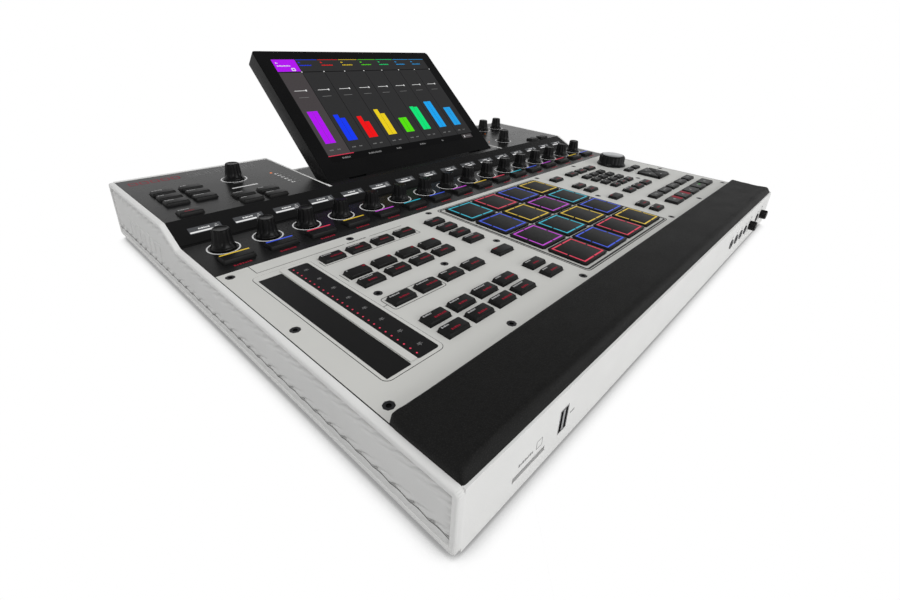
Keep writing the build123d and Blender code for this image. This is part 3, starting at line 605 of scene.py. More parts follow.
# ---------------- modelling one piece
class Piece:
    """One mesh on the bench, shaped by operators and then mounted on its body."""

    def __init__(self, obj: bpy.types.Object) -> None:
        """Take an object to the bench.

        Args:
            obj: The mesh object.
        """
        self.obj = obj

    # ---- starts
    @classmethod
    def sheet(cls, name: str, size: Place, centre: Point) -> "Piece":
        """Start from a flat rectangle that faces up.

        Args:
            name: The piece's name.
            size: Its width and depth.
            centre: Its middle.

        Returns:
            The piece.
        """
        bpy.ops.object.select_all(action="DESELECT")
        bpy.ops.mesh.primitive_plane_add(size=1, location=centre)
        made = cls(bpy.context.object)
        made.obj.scale = (size[0], size[1], 1)
        return made._start(name)

    @classmethod
    def grid(cls, name: str, columns: int, rows: int) -> "Piece":
        """Start from a flat square grid, one metre wide, about the origin.

        Args:
            name: The piece's name.
            columns: How many cells it has along X.
            rows: How many it has along Y.

        Returns:
            The piece.
        """
        bpy.ops.object.select_all(action="DESELECT")
        bpy.ops.mesh.primitive_grid_add(x_subdivisions=columns, y_subdivisions=rows, size=1)
        return cls(bpy.context.object)._start(name)

    @classmethod
    def disc(cls, name: str, radius: float, sides: int, centre: Point) -> "Piece":
        """Start from a flat disc that faces up.

        Args:
            name: The piece's name.
            radius: The disc's radius.
            sides: How many sides its edge has.
            centre: Its middle.

        Returns:
            The piece.
        """
        bpy.ops.object.select_all(action="DESELECT")
        bpy.ops.mesh.primitive_circle_add(vertices=sides, radius=radius, fill_type="NGON", location=centre)
        return cls(bpy.context.object)._start(name)

    @classmethod
    def turned(cls, name: str, rings: list[Place], sides: int) -> "Piece":
        """Turn a closed solid about the Z axis.

        Args:
            name: The piece's name.
            rings: Radius and height of each ring, from the bottom up.
            sides: How many sides each ring has.

        Returns:
            The piece.
        """
        radius, height = rings[0]
        piece = cls.disc(name, radius, sides, (0.0, 0.0, height))
        piece._edit_all()
        for next_radius, next_height in rings[1:]:
            step = (0.0, 0.0, next_height - height)
            bpy.ops.mesh.extrude_region_move(TRANSFORM_OT_translate={"value": step})
            factor = next_radius / radius
            bpy.ops.transform.resize(value=(factor, factor, 1.0), center_override=(0.0, 0.0, next_height))
            radius, height = next_radius, next_height
        return piece._leave().outward()

    @classmethod
    def from_node(cls, name: str, node: str) -> "Piece":
        """Start from a merged copy of a node's mesh, with its flat faces whole.

        Args:
            name: The piece's name.
            node: The node that is copied.

        Returns:
            The piece.
        """
        made = bpy.data.objects.new(name, frame["nodes"][node].data.copy())
        bpy.context.scene.collection.objects.link(made)
        made.data.materials.clear()
        piece = cls(made)
        piece._edit_all()
        bpy.ops.mesh.remove_doubles(threshold=0.002 * MM)
        bpy.ops.mesh.dissolve_limited(angle_limit=math.radians(0.5))
        return piece._leave()

    def _name(self, name: str) -> "Piece":
        """Name the object and its mesh alike."""
        self.obj.name = self.obj.data.name = name
        return self

    def _start(self, name: str) -> "Piece":
        """Put a new primitive's place into its mesh and name it."""
        bpy.ops.object.transform_apply(location=True, rotation=True, scale=True)
        return self._name(name)

    def _hold(self) -> None:
        """Select this piece alone."""
        bpy.ops.object.select_all(action="DESELECT")
        self.obj.select_set(True)
        bpy.context.view_layer.objects.active = self.obj

    def _edit(self, kind: str) -> None:
        """Enter edit mode with nothing picked.

        Args:
            kind: What will be picked, which is VERT, EDGE or FACE.
        """
        self._hold()
        bpy.ops.object.mode_set(mode="EDIT")
        bpy.ops.mesh.select_mode(type=kind)
        bpy.ops.mesh.select_all(action="DESELECT")

    def _edit_all(self) -> None:
        """Enter edit mode with every face picked."""
        self._edit("FACE")
        bpy.ops.mesh.select_all(action="SELECT")

    def _leave(self) -> "Piece":
        """Go back to object mode."""
        bpy.ops.object.mode_set(mode="OBJECT")
        return self

    def _apply(self, operator: Callable, **settings: object) -> "Piece":
        """Run one operator in edit mode on what is picked.

        Args:
            operator: The operator.
            **settings: Its settings.

        Returns:
            The piece.
        """
        self._hold()
        bpy.ops.object.mode_set(mode="EDIT")
        operator(**settings)
        return self._leave()

    # ---- picking
    def _pick(self, kind: str, items: str, test: Callable) -> "Piece":
        """Pick vertices, edges or faces.

        Args:
            kind: What is picked, as edit mode names it.
            items: The mesh's collection of them.
            test: Says which are picked.

        Returns:
            The piece.
        """
        self._edit(kind)
        self._leave()
        for item in getattr(self.obj.data, items):
            item.select = test(item)
        return self

    def pick_faces(self, test: Test) -> "Piece":
        """Pick the faces whose middle and normal pass a test."""
        return self._pick("FACE", "polygons", lambda face: test(face.center, face.normal))

    def pick_points(self, test: Callable[[Vector], bool]) -> "Piece":
        """Pick the vertices whose place passes a test."""
        return self._pick("VERT", "vertices", lambda point: test(point.co))

    def pick_edges(self, test: Test) -> "Piece":
        """Pick the edges whose two ends pass a test."""
        points = self.obj.data.vertices
        return self._pick("EDGE", "edges", lambda edge: test(*(points[end].co for end in edge.vertices)))

    def pick_all(self) -> "Piece":
        """Pick every face."""
        self._edit_all()
        return self._leave()

    def pick_sharp(self, angle: float) -> "Piece":
        """Pick the edges that turn by more than an angle.

        Args:
            angle: The angle in degrees.

        Returns:
            The piece.
        """
        self._edit("EDGE")
        bpy.ops.mesh.edges_select_sharp(sharpness=math.radians(angle))
        return self._leave()

    # ---- shaping what is picked
    def rise(self, height: float) -> "Piece":
        """Extrude what is picked straight up."""
        return self.push((0.0, 0.0, height))

    def push(self, way: Point) -> "Piece":
        """Extrude what is picked along a vector."""
        return self._apply(bpy.ops.mesh.extrude_region_move, TRANSFORM_OT_translate={"value": way})

    def scale(self, factors: Point, centre: Point) -> "Piece":
        """Scale what is picked about a point."""
        return self._apply(bpy.ops.transform.resize, value=factors, center_override=centre)

    def move(self, way: Point) -> "Piece":
        """Move what is picked."""
        return self._apply(bpy.ops.transform.translate, value=way)

    def inset(self, width: float) -> "Piece":
        """Inset the picked faces."""
        return self._apply(bpy.ops.mesh.inset, thickness=width, depth=0.0)

    def remove_faces(self) -> "Piece":
        """Delete the picked faces."""
        return self._apply(bpy.ops.mesh.delete, type="FACE")

    def bevel(self, width: float, segments: int = 2, corners: bool = False) -> "Piece":
        """Round the picked edges, or the picked corners of a flat sheet."""
        settings = {"affect": "VERTICES" if corners else "EDGES", "clamp_overlap": True}
        return self._apply(bpy.ops.mesh.bevel, offset=width, segments=segments, **settings)

    def flute(self, count: int, depth: float, low: float, high: float) -> "Piece":
        """Press grooves into a turned piece whose rings have six sides to a groove.

        Args:
            count: How many grooves.
            depth: How deep their middles are.
            low: Where they start.
            high: Where they end.

        Returns:
            The piece.
        """
        step = math.tau / (6 * count)
        for places, share in (((0,), 1.0), ((1, 5), 0.7)):
            def grooved(point: Vector) -> bool:
                """Says whether a point lies in this part of a groove."""
                side = round(math.atan2(point.y, point.x) / step) % 6
                return low <= point.z <= high and side in places and point.xy.length > 2 * depth

            self.pick_points(grooved)
            radius = max(point.co.xy.length for point in self.obj.data.vertices if point.select)
            factor = 1 - depth * share / radius
            self.scale((factor, factor, 1.0), (0.0, 0.0, 0.0))
        return self

    def outward(self) -> "Piece":
        """Merge doubles and turn every face outwards.

        Returns:
            The piece.
        """
        self._edit_all()
        bpy.ops.mesh.remove_doubles(threshold=0.001 * MM)
        bpy.ops.mesh.normals_make_consistent(inside=False)
        return self._leave()

    # ---- whole piece
    def modifier(self, kind: str, **settings: object) -> "Piece":
        """Add a modifier, set it and apply it.

        Args:
            kind: The modifier's type.
            **settings: Its properties.

        Returns:
            The piece.
        """
        self._hold()
        added = self.obj.modifiers.new(kind.title(), kind)
        for key, value in settings.items():
            setattr(added, key, value)
        bpy.ops.object.modifier_apply(modifier=added.name)
        return self

    def smooth(self, angle: float = 35.0) -> "Piece":
        """Shade the piece smooth except at its sharp edges.

        Args:
            angle: The angle in degrees from which an edge is sharp.

        Returns:
            The piece.
        """
        self._hold()
        bpy.ops.object.shade_smooth_by_angle(angle=math.radians(angle))
        return self

    def tilt(self, turn: Matrix) -> "Piece":
        """Move the whole mesh by a matrix."""
        self.obj.data.transform(turn)
        return self

    def repeat(self, name: str, turns: list[Matrix]) -> "Piece":
        """Copy the piece to several places and join the copies.

        Args:
            name: The joined piece's name.
            turns: A matrix for each copy.

        Returns:
            The piece, which now holds every copy.
        """
        gathered = bmesh.new()
        for turn in turns:
            copy = self.obj.data.copy()
            copy.transform(turn)
            gathered.from_mesh(copy)
            bpy.data.meshes.remove(copy)
        gathered.to_mesh(self.obj.data)
        gathered.free()
        return self._name(name)

    @staticmethod
    def joined(name: str, pieces: list["Piece"]) -> "Piece":
        """Join several pieces into the first of them.

        Args:
            name: The joined piece's name.
            pieces: The pieces.

        Returns:
            The joined piece.
        """
        bpy.ops.object.select_all(action="DESELECT")
        for piece in pieces:
            piece.obj.select_set(True)
        bpy.context.view_layer.objects.active = pieces[0].obj
        if len(pieces) > 1:
            bpy.ops.object.join()
        return pieces[0]._name(name)

    def copy(self, name: str, turn: Matrix) -> "Piece":
        """Copy the piece.

        Args:
            name: The copy's name.
            turn: The matrix that moves the copy.

        Returns:
            The copy, with a mesh of its own.
        """
        mesh = self.obj.data.copy()
        mesh.transform(turn)
        made = bpy.data.objects.new(name, mesh)
        mesh.name = name
        bpy.context.scene.collection.objects.link(made)
        return Piece(made)

    def drop(self) -> None:
        """Remove a pattern piece that is no longer needed."""
        bpy.data.objects.remove(self.obj)

    def dress(self, finish: Finish, test: Test | None = None) -> "Piece":
        """Give the whole piece, or the faces that pass a test, a finish.

        Args:
            finish: The finish.
            test: Says which faces take it, or nothing for all of them.

        Returns:
            The piece.
        """
        materials = self.obj.data.materials
        if test is None:
            materials.clear()
            materials.append(finish.material())
            for face in self.obj.data.polygons:
                face.material_index = 0
            return self
        materials.append(finish.material())
        for face in self.obj.data.polygons:
            if test(face.center, face.normal):
                face.material_index = len(materials) - 1
        return self

    def mount(self, body: str, slot: str, replaces: tuple[str, ...] = ()) -> "Piece":
        """Let the piece ride on a body.

        Args:
            body: The body it moves with.
            slot: Not used; the material slot that its finish belongs to.
            replaces: The nodes that it stands for.

        Returns:
            The piece.
        """
        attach(self.obj, body)
        if replaces:
            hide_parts(*replaces)
        log.info("made %s: %d faces, on %s", self.obj.name, len(self.obj.data.polygons), body)
        return self


def at(x: float, y: float, z: float) -> Matrix:
    """The matrix that moves a thing to a place."""
    return Matrix.Translation((x, y, z))


UPRIGHT = Matrix.Rotation(math.pi / 2, 4, "X")


def solids_of(node: str) -> list[tuple[Vector, Vector]]:
    """The boxes of a node's separate solids.

    Args:
        node: The node's name.

    Returns:
        The lowest and highest corner of each solid, from front left to back right.
    """
    mesh = bmesh.new()
    mesh.from_mesh(frame["nodes"][node].data)
    bmesh.ops.remove_doubles(mesh, verts=mesh.verts, dist=0.002 * MM)
    left = set(mesh.verts)
    boxes = []
    while left:
        queue = [left.pop()]
        island = []
        while queue:
            vertex = queue.pop()
            island.append(vertex.co.copy())
            for edge in vertex.link_edges:
                other = edge.other_vert(vertex)
                if other in left:
                    left.remove(other)
                    queue.append(other)
        low = Vector([min(point[axis] for point in island) for axis in range(3)])
        high = Vector([max(point[axis] for point in island) for axis in range(3)])
        boxes.append((low, high))
    mesh.free()
    return sorted(boxes, key=lambda box: (round(box[0].y, 4), round(box[0].x, 4)))


def dress_node(node: str, finish: Finish) -> None:
    """Give a node that stays its finish.

    Args:
        node: The node's name.
        finish: The finish.
    """
    obj = frame["nodes"][node]
    for slot in obj.material_slots:
        slot.material = finish.material()
    log.info("dressed %s in %s", node, finish.name)


# ---------------- room, light and view
@dataclass(frozen=True)
class Lamp:
    """A soft rectangular lamp that faces a point."""

    name: str
    place: Point
    target: Point
    size: Place
    power: float

    def hang(self) -> None:
        """Add the lamp to the room."""
        light = bpy.data.lights.new(self.name, "AREA")
        light.shape = "RECTANGLE"
        light.size = self.size[0]
        light.size_y = self.size[1]
        light.energy = self.power
        lamp = bpy.data.objects.new(self.name, light)
        lamp.location = self.place
        way = Vector(self.target) - Vector(self.place)
        lamp.rotation_euler = way.to_track_quat("-Z", "Y").to_euler()
        bpy.context.scene.collection.objects.link(lamp)


@dataclass
class Studio:
    """The pale room round the machine and the view of it."""

    lamps: tuple[Lamp, ...] = (
        Lamp("key_lamp", (-0.5, 0.1, 1.3), (-0.1, -0.05, 0.0), (0.5, 0.4), 4.1),
        Lamp("front_lamp", (0.5, -2.4, 0.9), (0.0, 0.0, 0.0), (2.4, 1.0), 26.0),
    )
    eye: Point = (-361.97 * MM, -290.97 * MM, 193.75 * MM)
    heading: float = 50.17
    dip: float = 24.51
    roll: float = 3.82
    sensor: float = 36.0
    lens: float = 18.616
    shift: Place = (-0.0219, -0.0656)
    nearest: float = 10 * MM
    floor_size: float = 40.0
    floor_drop: float = 0.1 * MM
    floor_grey: float = 0.8
    sky: float = 0.58
    mirror_low: float = 0.26
    mirror_high: float = 0.56
    mirror_dark: float = 0.12
    shade_distance: float = 17 * MM
    shade_dark: float = 0.30
    shade_closed: float = 0.36
    shade_open: float = 0.74

    def build(self) -> None:
        """Make the floor, the sky, the lamps and the camera."""
        self._floor()
        self._sky()
        for lamp in self.lamps:
            lamp.hang()
        self._camera()

    def _floor(self) -> None:
        """A plain white floor: to the camera it is white emission with a painted contact shadow, darker
        where ambient occlusion finds the machine close.
        """
        size = (self.floor_size, self.floor_size)
        floor = Piece.sheet("studio_floor", size, (0.0, 0.0, -self.floor_drop))
        material = bpy.data.materials.new("studio_floor_white")
        material.use_nodes = True
        graph = Graph(material.node_tree)
        grey = (self.floor_grey, self.floor_grey, self.floor_grey, 1.0)
        plain = graph.node("ShaderNodeBsdfDiffuse", {}, {"Color": grey})
        # Painted contact shadow: ambient occlusion within shade_distance pulls the seen emission from white
        # down towards shade_dark.
        reach = {"Distance": self.shade_distance}
        open_sky = graph.node("ShaderNodeAmbientOcclusion", {"samples": 16}, reach, "AO")
        span = {"Value": open_sky, "From Min": self.shade_closed, "From Max": self.shade_open}
        clear = graph.node("ShaderNodeMapRange", {"interpolation_type": "SMOOTHSTEP"}, span)
        shadow = graph.node("ShaderNodeEmission", {}, {"Color": WHITE, "Strength": self.shade_dark})
        bright = graph.node("ShaderNodeEmission", {}, {"Color": WHITE, "Strength": 1.0})
        seen = graph.node("ShaderNodeMixShader", {}, {0: clear, 1: shadow, 2: bright})
        mixed = graph.node("ShaderNodeMixShader", {}, {0: self._looked_at(graph), 1: plain, 2: seen})
        graph.surface(mixed)
        floor.obj.data.materials.append(material)

    @staticmethod
    def _looked_at(graph: Graph) -> Value:
        """Mask what the camera sees straight or through glass.

        Args:
            graph: The graph that needs the mask.

        Returns:
            One there and nought elsewhere.
        """
        straight = graph.node("ShaderNodeLightPath", {}, {}, "Is Camera Ray")
        through = graph.node("ShaderNodeLightPath", {}, {}, "Is Transmission Ray")
        return graph.node("ShaderNodeMath", {"operation": "MINIMUM"}, {0: straight + through, 1: 1.0})

    def _sky(self) -> None:
        """An even white sky, dimmer as a light than as a background."""
        world = bpy.data.worlds.new("studio_sky")
        world.use_nodes = True
        graph = Graph(world.node_tree)
        mirrored = graph.node("ShaderNodeLightPath", {}, {}, "Is Glossy Ray")
        way = graph.node("ShaderNodeTexCoord", {}, {}, "Generated")
        span = {"Value": graph.axis(way, "Z"), "From Min": self.mirror_low, "From Max": self.mirror_high}
        span |= {"To Min": 1.0, "To Max": self.mirror_dark}
        glance = graph.node("ShaderNodeMapRange", {"interpolation_type": "SMOOTHSTEP"}, span)
        strength = self.sky + self._looked_at(graph) * (1 - self.sky) + mirrored * (glance - self.sky)
        sky = graph.node("ShaderNodeBackground", {}, {"Color": WHITE, "Strength": strength})
        graph.node("ShaderNodeOutputWorld", {}, {"Surface": sky})
        bpy.context.scene.world = world

    def _camera(self) -> None:
        """Set the camera and the plain view transform."""
        data = bpy.data.cameras.new("view")
        data.sensor_width = self.sensor
        data.lens = self.lens
        data.shift_x = self.shift[0]
        data.shift_y = self.shift[1]
        data.clip_start = self.nearest
        camera = bpy.data.objects.new("view", data)
        heading = Matrix.Rotation(-math.radians(self.heading), 4, "Z")
        dip = Matrix.Rotation(math.radians(90 - self.dip), 4, "X")
        roll = Matrix.Rotation(math.radians(self.roll), 4, "Z")
        camera.matrix_world = at(*self.eye) @ heading @ dip @ roll
        bpy.context.scene.collection.objects.link(camera)
        bpy.context.scene.camera = camera
        bpy.context.scene.view_settings.view_transform = "Standard"


# ---------------- thin printed marks
@dataclass(frozen=True)
class Layout:
    """Lines and heights of the case that the pieces are placed from."""

    panel_z: float
    deck_z: float
    pad_y: float
    front_y: float
    strip_y: float
    strip_depth: float = 55.3 * MM
    ramp_run: float = 25.0 * MM
    slab_half: float = 8.0 * MM

    @classmethod
    def read(cls) -> "Layout":
        """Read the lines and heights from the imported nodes.

        Returns:
            The layout.
        """
        plate_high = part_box("control_plate")[1]
        pads_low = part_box("pad_01")[0]
        pads_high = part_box("pad_16")[1]
        return cls(
            panel_z=plate_high.z,
            deck_z=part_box("rear_deck")[1].z,
            pad_y=(pads_low.y + pads_high.y) / 2,
            front_y=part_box("base_pan")[0].y,
            strip_y=plate_high.y,
        )

    @property
    def ramp_y(self) -> float:
        """Y of the ramp's foot."""
        return self.strip_y + self.strip_depth

    @property
    def deck_y(self) -> float:
        """Y of the decks' front edge."""
        return self.ramp_y + self.ramp_run

    def panel(self) -> Matrix:
        """The control panel's surface, from the middle of the pads."""
        return at(0.0, self.pad_y, self.panel_z)

    def top(self, node: str) -> Matrix:
        """The surface on top of a key group, from the middle of the pads."""
        return at(0.0, self.pad_y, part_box(node)[1].z)

    def deck(self) -> Matrix:
        """The decks' surface, from the middle of their front edge."""
        return at(0.0, self.deck_y, self.deck_z)

    def ramp(self) -> Matrix:
        """The ramp's surface, from the middle of its foot."""
        slope = math.atan2(self.deck_z - self.panel_z, self.ramp_run)
        return at(0.0, self.ramp_y, self.panel_z) @ Matrix.Rotation(slope, 4, "X")

    def front(self) -> Matrix:
        """The front wall's surface, from the middle of its top edge."""
        return at(0.0, self.front_y, self.panel_z) @ UPRIGHT

    def hinge(self) -> Matrix:
        """Place the screen's front face, with Y up the slab.

        Returns:
            The frame of the face, from the middle of the hinge line.
        """
        joint = next(j for j in frame["joints"] if j["name"] == "screen_tilt")
        tilt = math.radians(-joint["range_deg"][0])
        return at(*joint["pos_m"]) @ Matrix.Rotation(tilt, 4, "X") @ at(0.0, 0.0, self.slab_half)


class MarkSheet:
    """Thin marks of one finish that lie on one surface of a body."""

    letter_widths: tuple[float, ...] = (0.95, 0.6, 1.1, 0.75, 0.9, 0.5, 1.0, 0.8)
    letter_height: float = 1.3
    letter_gap: float = 0.35
    low_letter: float = 0.75

    def __init__(
        self, name: str, finish: Finish, surface: Matrix, body: str, slot: str, thickness: float = 0.04 * MM
    ) -> None:
        """Start an empty sheet.

        Args:
            name: The piece's name.
            finish: The marks' finish.
            surface: The surface's matrix, with Z out of it.
            body: The body that carries the marks.
            slot: The material slot of their finish.
            thickness: How thick the marks are.
        """
        self.name = name
        self.finish = finish
        self.surface = surface
        self.body = body
        self.slot = slot
        self.thickness = thickness
        self.bars: list[Matrix] = []
        self.pieces: list[Piece] = []

    def bar(
        self, x: float, y: float, width: float, depth: float, turn: float = 0.0, lift: float = 0.0
    ) -> None:
        """Add a straight mark.

        Args:
            x: Its middle across, in millimetres, as are the other sizes.
            y: Its middle along.
            width: Its width.
            depth: Its depth.
            turn: Its turn in degrees.
            lift: How far above the surface it starts.
        """
        size = Matrix.Diagonal((width * MM, depth * MM, self.thickness, 1.0))
        turned = Matrix.Rotation(math.radians(turn), 4, "Z")
        self.bars.append(at(x * MM, y * MM, lift * MM) @ turned @ size)

    def word(self, x: float, y: float, length: float, height: float, lift: float = 0.0) -> None:
        """Add a row of short dashes.

        Args:
            x: Where it starts across, in millimetres, as are the other sizes.
            y: Its foot along.
            length: The most that it may take.
            height: Its height.
            lift: How far above the surface it starts.
        """
        scale = height / self.letter_height
        reach = 0.0
        index = 0
        width = self.letter_widths[0] * scale
        while reach + width <= length:
            tall = height * (self.low_letter if index % 3 == 1 else 1.0)
            self.bar(x + reach + width / 2, y + tall / 2, width, tall, lift=lift)
            reach += width + self.letter_gap * scale
            index += 1
            width = self.letter_widths[index % len(self.letter_widths)] * scale

    def _thicken(self, flat: Piece) -> None:
        """Make a flat outline solid and keep it."""
        self.pieces.append(flat.pick_all().rise(self.thickness).outward())

    def ring(self, x: float, y: float, outer: float, inner: float, sides: int = 40) -> None:
        """Add a ring.

        Args:
            x: Its middle across, in millimetres, as are the other sizes.
            y: Its middle along.
            outer: Its outer radius.
            inner: Its inner radius.
            sides: How many sides it has.
        """
        ring = Piece.disc("ring", outer * MM, sides, (x * MM, y * MM, 0.0))
        ring.pick_all().inset((outer - inner) * MM)
        ring.pick_faces(lambda middle, normal: (middle - Vector((x, y, 0.0)) * MM).length < 0.1 * MM)
        self._thicken(ring.remove_faces())

    def plate(self, low: Place, high: Place, corner: float, lift: float = 0.0, line: float = 0.0) -> None:
        """Add a plate or a closed line with round corners.

        Args:
            low: Its front left corner, in millimetres, as are the other sizes.
            high: Its back right corner.
            corner: The corners' radius.
            lift: How far above the surface it starts.
            line: The width of the line, or nothing for a filled plate.
        """
        middle = Vector((low[0] + high[0], low[1] + high[1], 2 * lift)) * (MM / 2)
        sheet = Piece.sheet("plate", ((high[0] - low[0]) * MM, (high[1] - low[1]) * MM), middle)
        if corner:
            sheet.pick_points(lambda point: True).bevel(corner * MM, 5 if line else 4, corners=True)
        if line:
            sheet.pick_all().inset(line * MM)
            sheet.pick_faces(lambda place, normal: (place - middle).length < MM).remove_faces()
        self._thicken(sheet)

    def border(self, low: Place, high: Place, corner: float, line: float, lift: float = 0.0) -> None:
        """Add a closed line with round corners between two corners."""
        self.plate(low, high, corner, lift, line)

    def dot(self, x: float, y: float, radius: float, lift: float = 0.0) -> None:
        """Add a small round mark, in millimetres."""
        self._thicken(Piece.disc("dot", radius * MM, 12, (x * MM, y * MM, lift * MM)))

    def done(self) -> Piece:
        """Gather the marks into one piece and mount it.

        Returns:
            The mounted piece.
        """
        if self.bars:
            mark = Piece.sheet("mark", (1.0, 1.0), (0.0, 0.0, 0.0))
            mark.pick_all().rise(1.0).outward()
            self.pieces.append(mark.repeat("marks", self.bars))
        sheet = Piece.joined(self.name, self.pieces)
        sheet.tilt(self.surface).dress(self.finish)
        return sheet.mount(self.body, self.slot)


# ---------------- keys
@dataclass
class RubberKeys:
    """Every key as a soft-edged cap with its white and red marks."""

    layout: Layout
    corner_round: float = 0.95 * MM
    rim_round: float = 0.38 * MM
    steps: int = 3
    white_height: float = 1.25
    red_height: float = 1.5
    edge: float = 1.5
    lone_key: Place = (98.5, -14.7)
    upper_row: float = 29.4
    upper_reach: float = 120.0
    wide_key: float = 16.0
    deep_key: float = 9.0
    arrows: tuple[Place, ...] = ((-12.0, 0.0), (12.0, 0.0), (0.0, 9.5), (0.0, -9.5))
    step_keys: int = 5
    above: float = 0.05

    def build(self) -> None:
        """Make the caps of each group and print their marks."""
        for node in ("left_panel_buttons", "right_panel_buttons", "keypad_keys", "transport_buttons",
                     "deck_buttons", "encoder_buttons"):
            self._caps(node)
        self._panel_marks("left_panel_buttons")
        self._panel_marks("right_panel_buttons")
        self._keypad_marks()
        self._transport_marks()
        self._deck_marks()

    def _caps(self, node: str) -> None:
        """Ease the corners and rims of one group's caps.

        Args:
            node: The group's node.
        """
        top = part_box(node)[1].z
        caps = Piece.from_node(f"{node}_caps", node)
        caps.pick_edges(lambda a, b: abs(a.z - b.z) > 1.2 * MM and (a - b).xy.length < 1.0 * MM)
        caps.bevel(self.corner_round, self.steps)
        caps.pick_edges(lambda a, b: min(a.z, b.z) > top - 0.01 * MM)
        caps.bevel(self.rim_round, self.steps)
        caps.smooth(40.0).dress(KEY_RUBBER)
        caps.mount(node, "rubber", (node,))

    def _places(self, node: str) -> list[tuple[float, float, float, float]]:
        """Find each cap of a group.

        Args:
            node: The group's node.

        Returns:
            Centre, width and depth of each cap, in millimetres from the pads' middle.
        """
        found = []
        for low, high in solids_of(node):
            middle = (low + high) / 2
            size = high - low
            found.append((middle.x / MM, (middle.y - self.layout.pad_y) / MM, size.x / MM, size.y / MM))
        return found

    def _sheet(self, node: str, name: str, finish: Finish) -> MarkSheet:
        """A sheet of marks on top of a group's caps."""
        return MarkSheet(name, finish, self.layout.top(node), node, "rubber")

    def _panel_marks(self, node: str) -> None:
        """Print the keys beside the pads.

        Args:
            node: The group's node.
        """
        white = self._sheet(node, f"{node}_white_marks", INK_PALE)
        red = self._sheet(node, f"{node}_red_marks", RED_PRINT_PAINTED_GLOW)
        for index, (x, y, width, depth) in enumerate(self._places(node)):
            left = x - width / 2 + self.edge
            rear = y + depth / 2 - self.edge - self.white_height
            if abs(y - self.upper_row) < 1 and x < -self.upper_reach:
                white.word(left, rear, 1.2, self.white_height)
                red.bar(x + width / 2 - 2.4, y + depth / 2 - 2.6, 2.2, 1.6)
            elif abs(abs(x) - self.lone_key[0]) < 1 and abs(y - self.lone_key[1]) < 1:
                red.word(left, rear, 5.0, self.white_height)
            else:
                white.word(left, rear, 5.5 + 1.6 * (index % 4), self.white_height)
                red.word(x - 3.8 + 0.7 * (index % 3), y - 2.4, 7.5 + (index % 3), self.red_height)
        white.done()
        red.done()

    def _keypad_marks(self) -> None:
        """Print the number keys, the two small keys and the cursor cluster."""
        white = self._sheet("keypad_keys", "keypad_white_marks", INK_PALE)
        red = self._sheet("keypad_keys", "keypad_red_marks", RED_PRINT_PAINTED_GLOW)
        cluster = []
        for x, y, width, depth in self._places("keypad_keys"):
            if width > self.wide_key or depth > self.deep_key:
                cluster.append((x, y))
                continue
            white.word(x - 1.2, y - 0.2, 2.2, 1.5)
            if width < 14 and y < 10:
                red.word(x - 3.0, y - 2.4, 5.0, 0.9)
        middle_x = sum(place[0] for place in cluster) / len(cluster)
        middle_y = sum(place[1] for place in cluster) / len(cluster)
        for away_x, away_y in self.arrows:
            white.bar(middle_x + away_x, middle_y + away_y, 1.8, 1.8, 45.0)
        white.done()
        red.done()

    def _transport_marks(self) -> None:
        """Print plain signs on the step keys and the transport keys."""
        node = "transport_buttons"
        pale = self._sheet(node, "transport_pale_tops", KEY_TOP_GREY)
        white = self._sheet(node, "transport_white_marks", INK_PALE)
        red = self._sheet(node, "transport_red_marks", RED_PRINT_PAINTED_GLOW)
        green = self._sheet(node, "transport_green_marks", GREEN_PRINT_PAINTED_GLOW)
        for index, (x, y, width, depth) in enumerate(self._places(node)):
            right = x + width / 2 - self.edge
            front, rear = y - depth / 2 + self.edge, y + depth / 2 - self.edge
            pale.plate((x - width / 2 + self.edge, front), (right, rear), 0.8)
            if index >= self.step_keys:
                white.bar(x - 2.2, y, 1.0, 2.4, lift=self.above)
                white.bar(x + 2.0, y, 1.0, 2.4, lift=self.above)
                continue
            white.bar(x - 1.0, y + 0.6, 3.2, 0.8, 20.0, self.above)
            white.bar(x - 1.0, y - 0.6, 3.2, 0.8, -20.0, self.above)
            if index < 2:
                red.plate((x + 3.4, front), (right, rear), 0.8, self.above)
            if index == 3:
                green.bar(x + 5.0, y, 2.4, 2.4, 45.0, self.above)
        for sheet in (pale, white, red, green):
            sheet.done()

    def _deck_marks(self) -> None:
        """Print the keys of the decks, with red marks on the front rows of the left deck."""
        white = self._sheet("deck_buttons", "deck_key_white_marks", INK_PALE)
        red = self._sheet("deck_buttons", "deck_key_red_marks", RED_PRINT_PAINTED_GLOW)
        for index, (x, y, width, depth) in enumerate(self._places("deck_buttons")):
            rear = y + depth / 2 - self.edge - self.white_height
            white.word(x - width / 2 + self.edge, rear, 5.0 + 1.5 * (index % 3), self.white_height)
            if x < -240 and y < 178:
                red.word(x - 4.0, y - 2.2, 7.5, self.red_height)
        white.done()
        red.done()


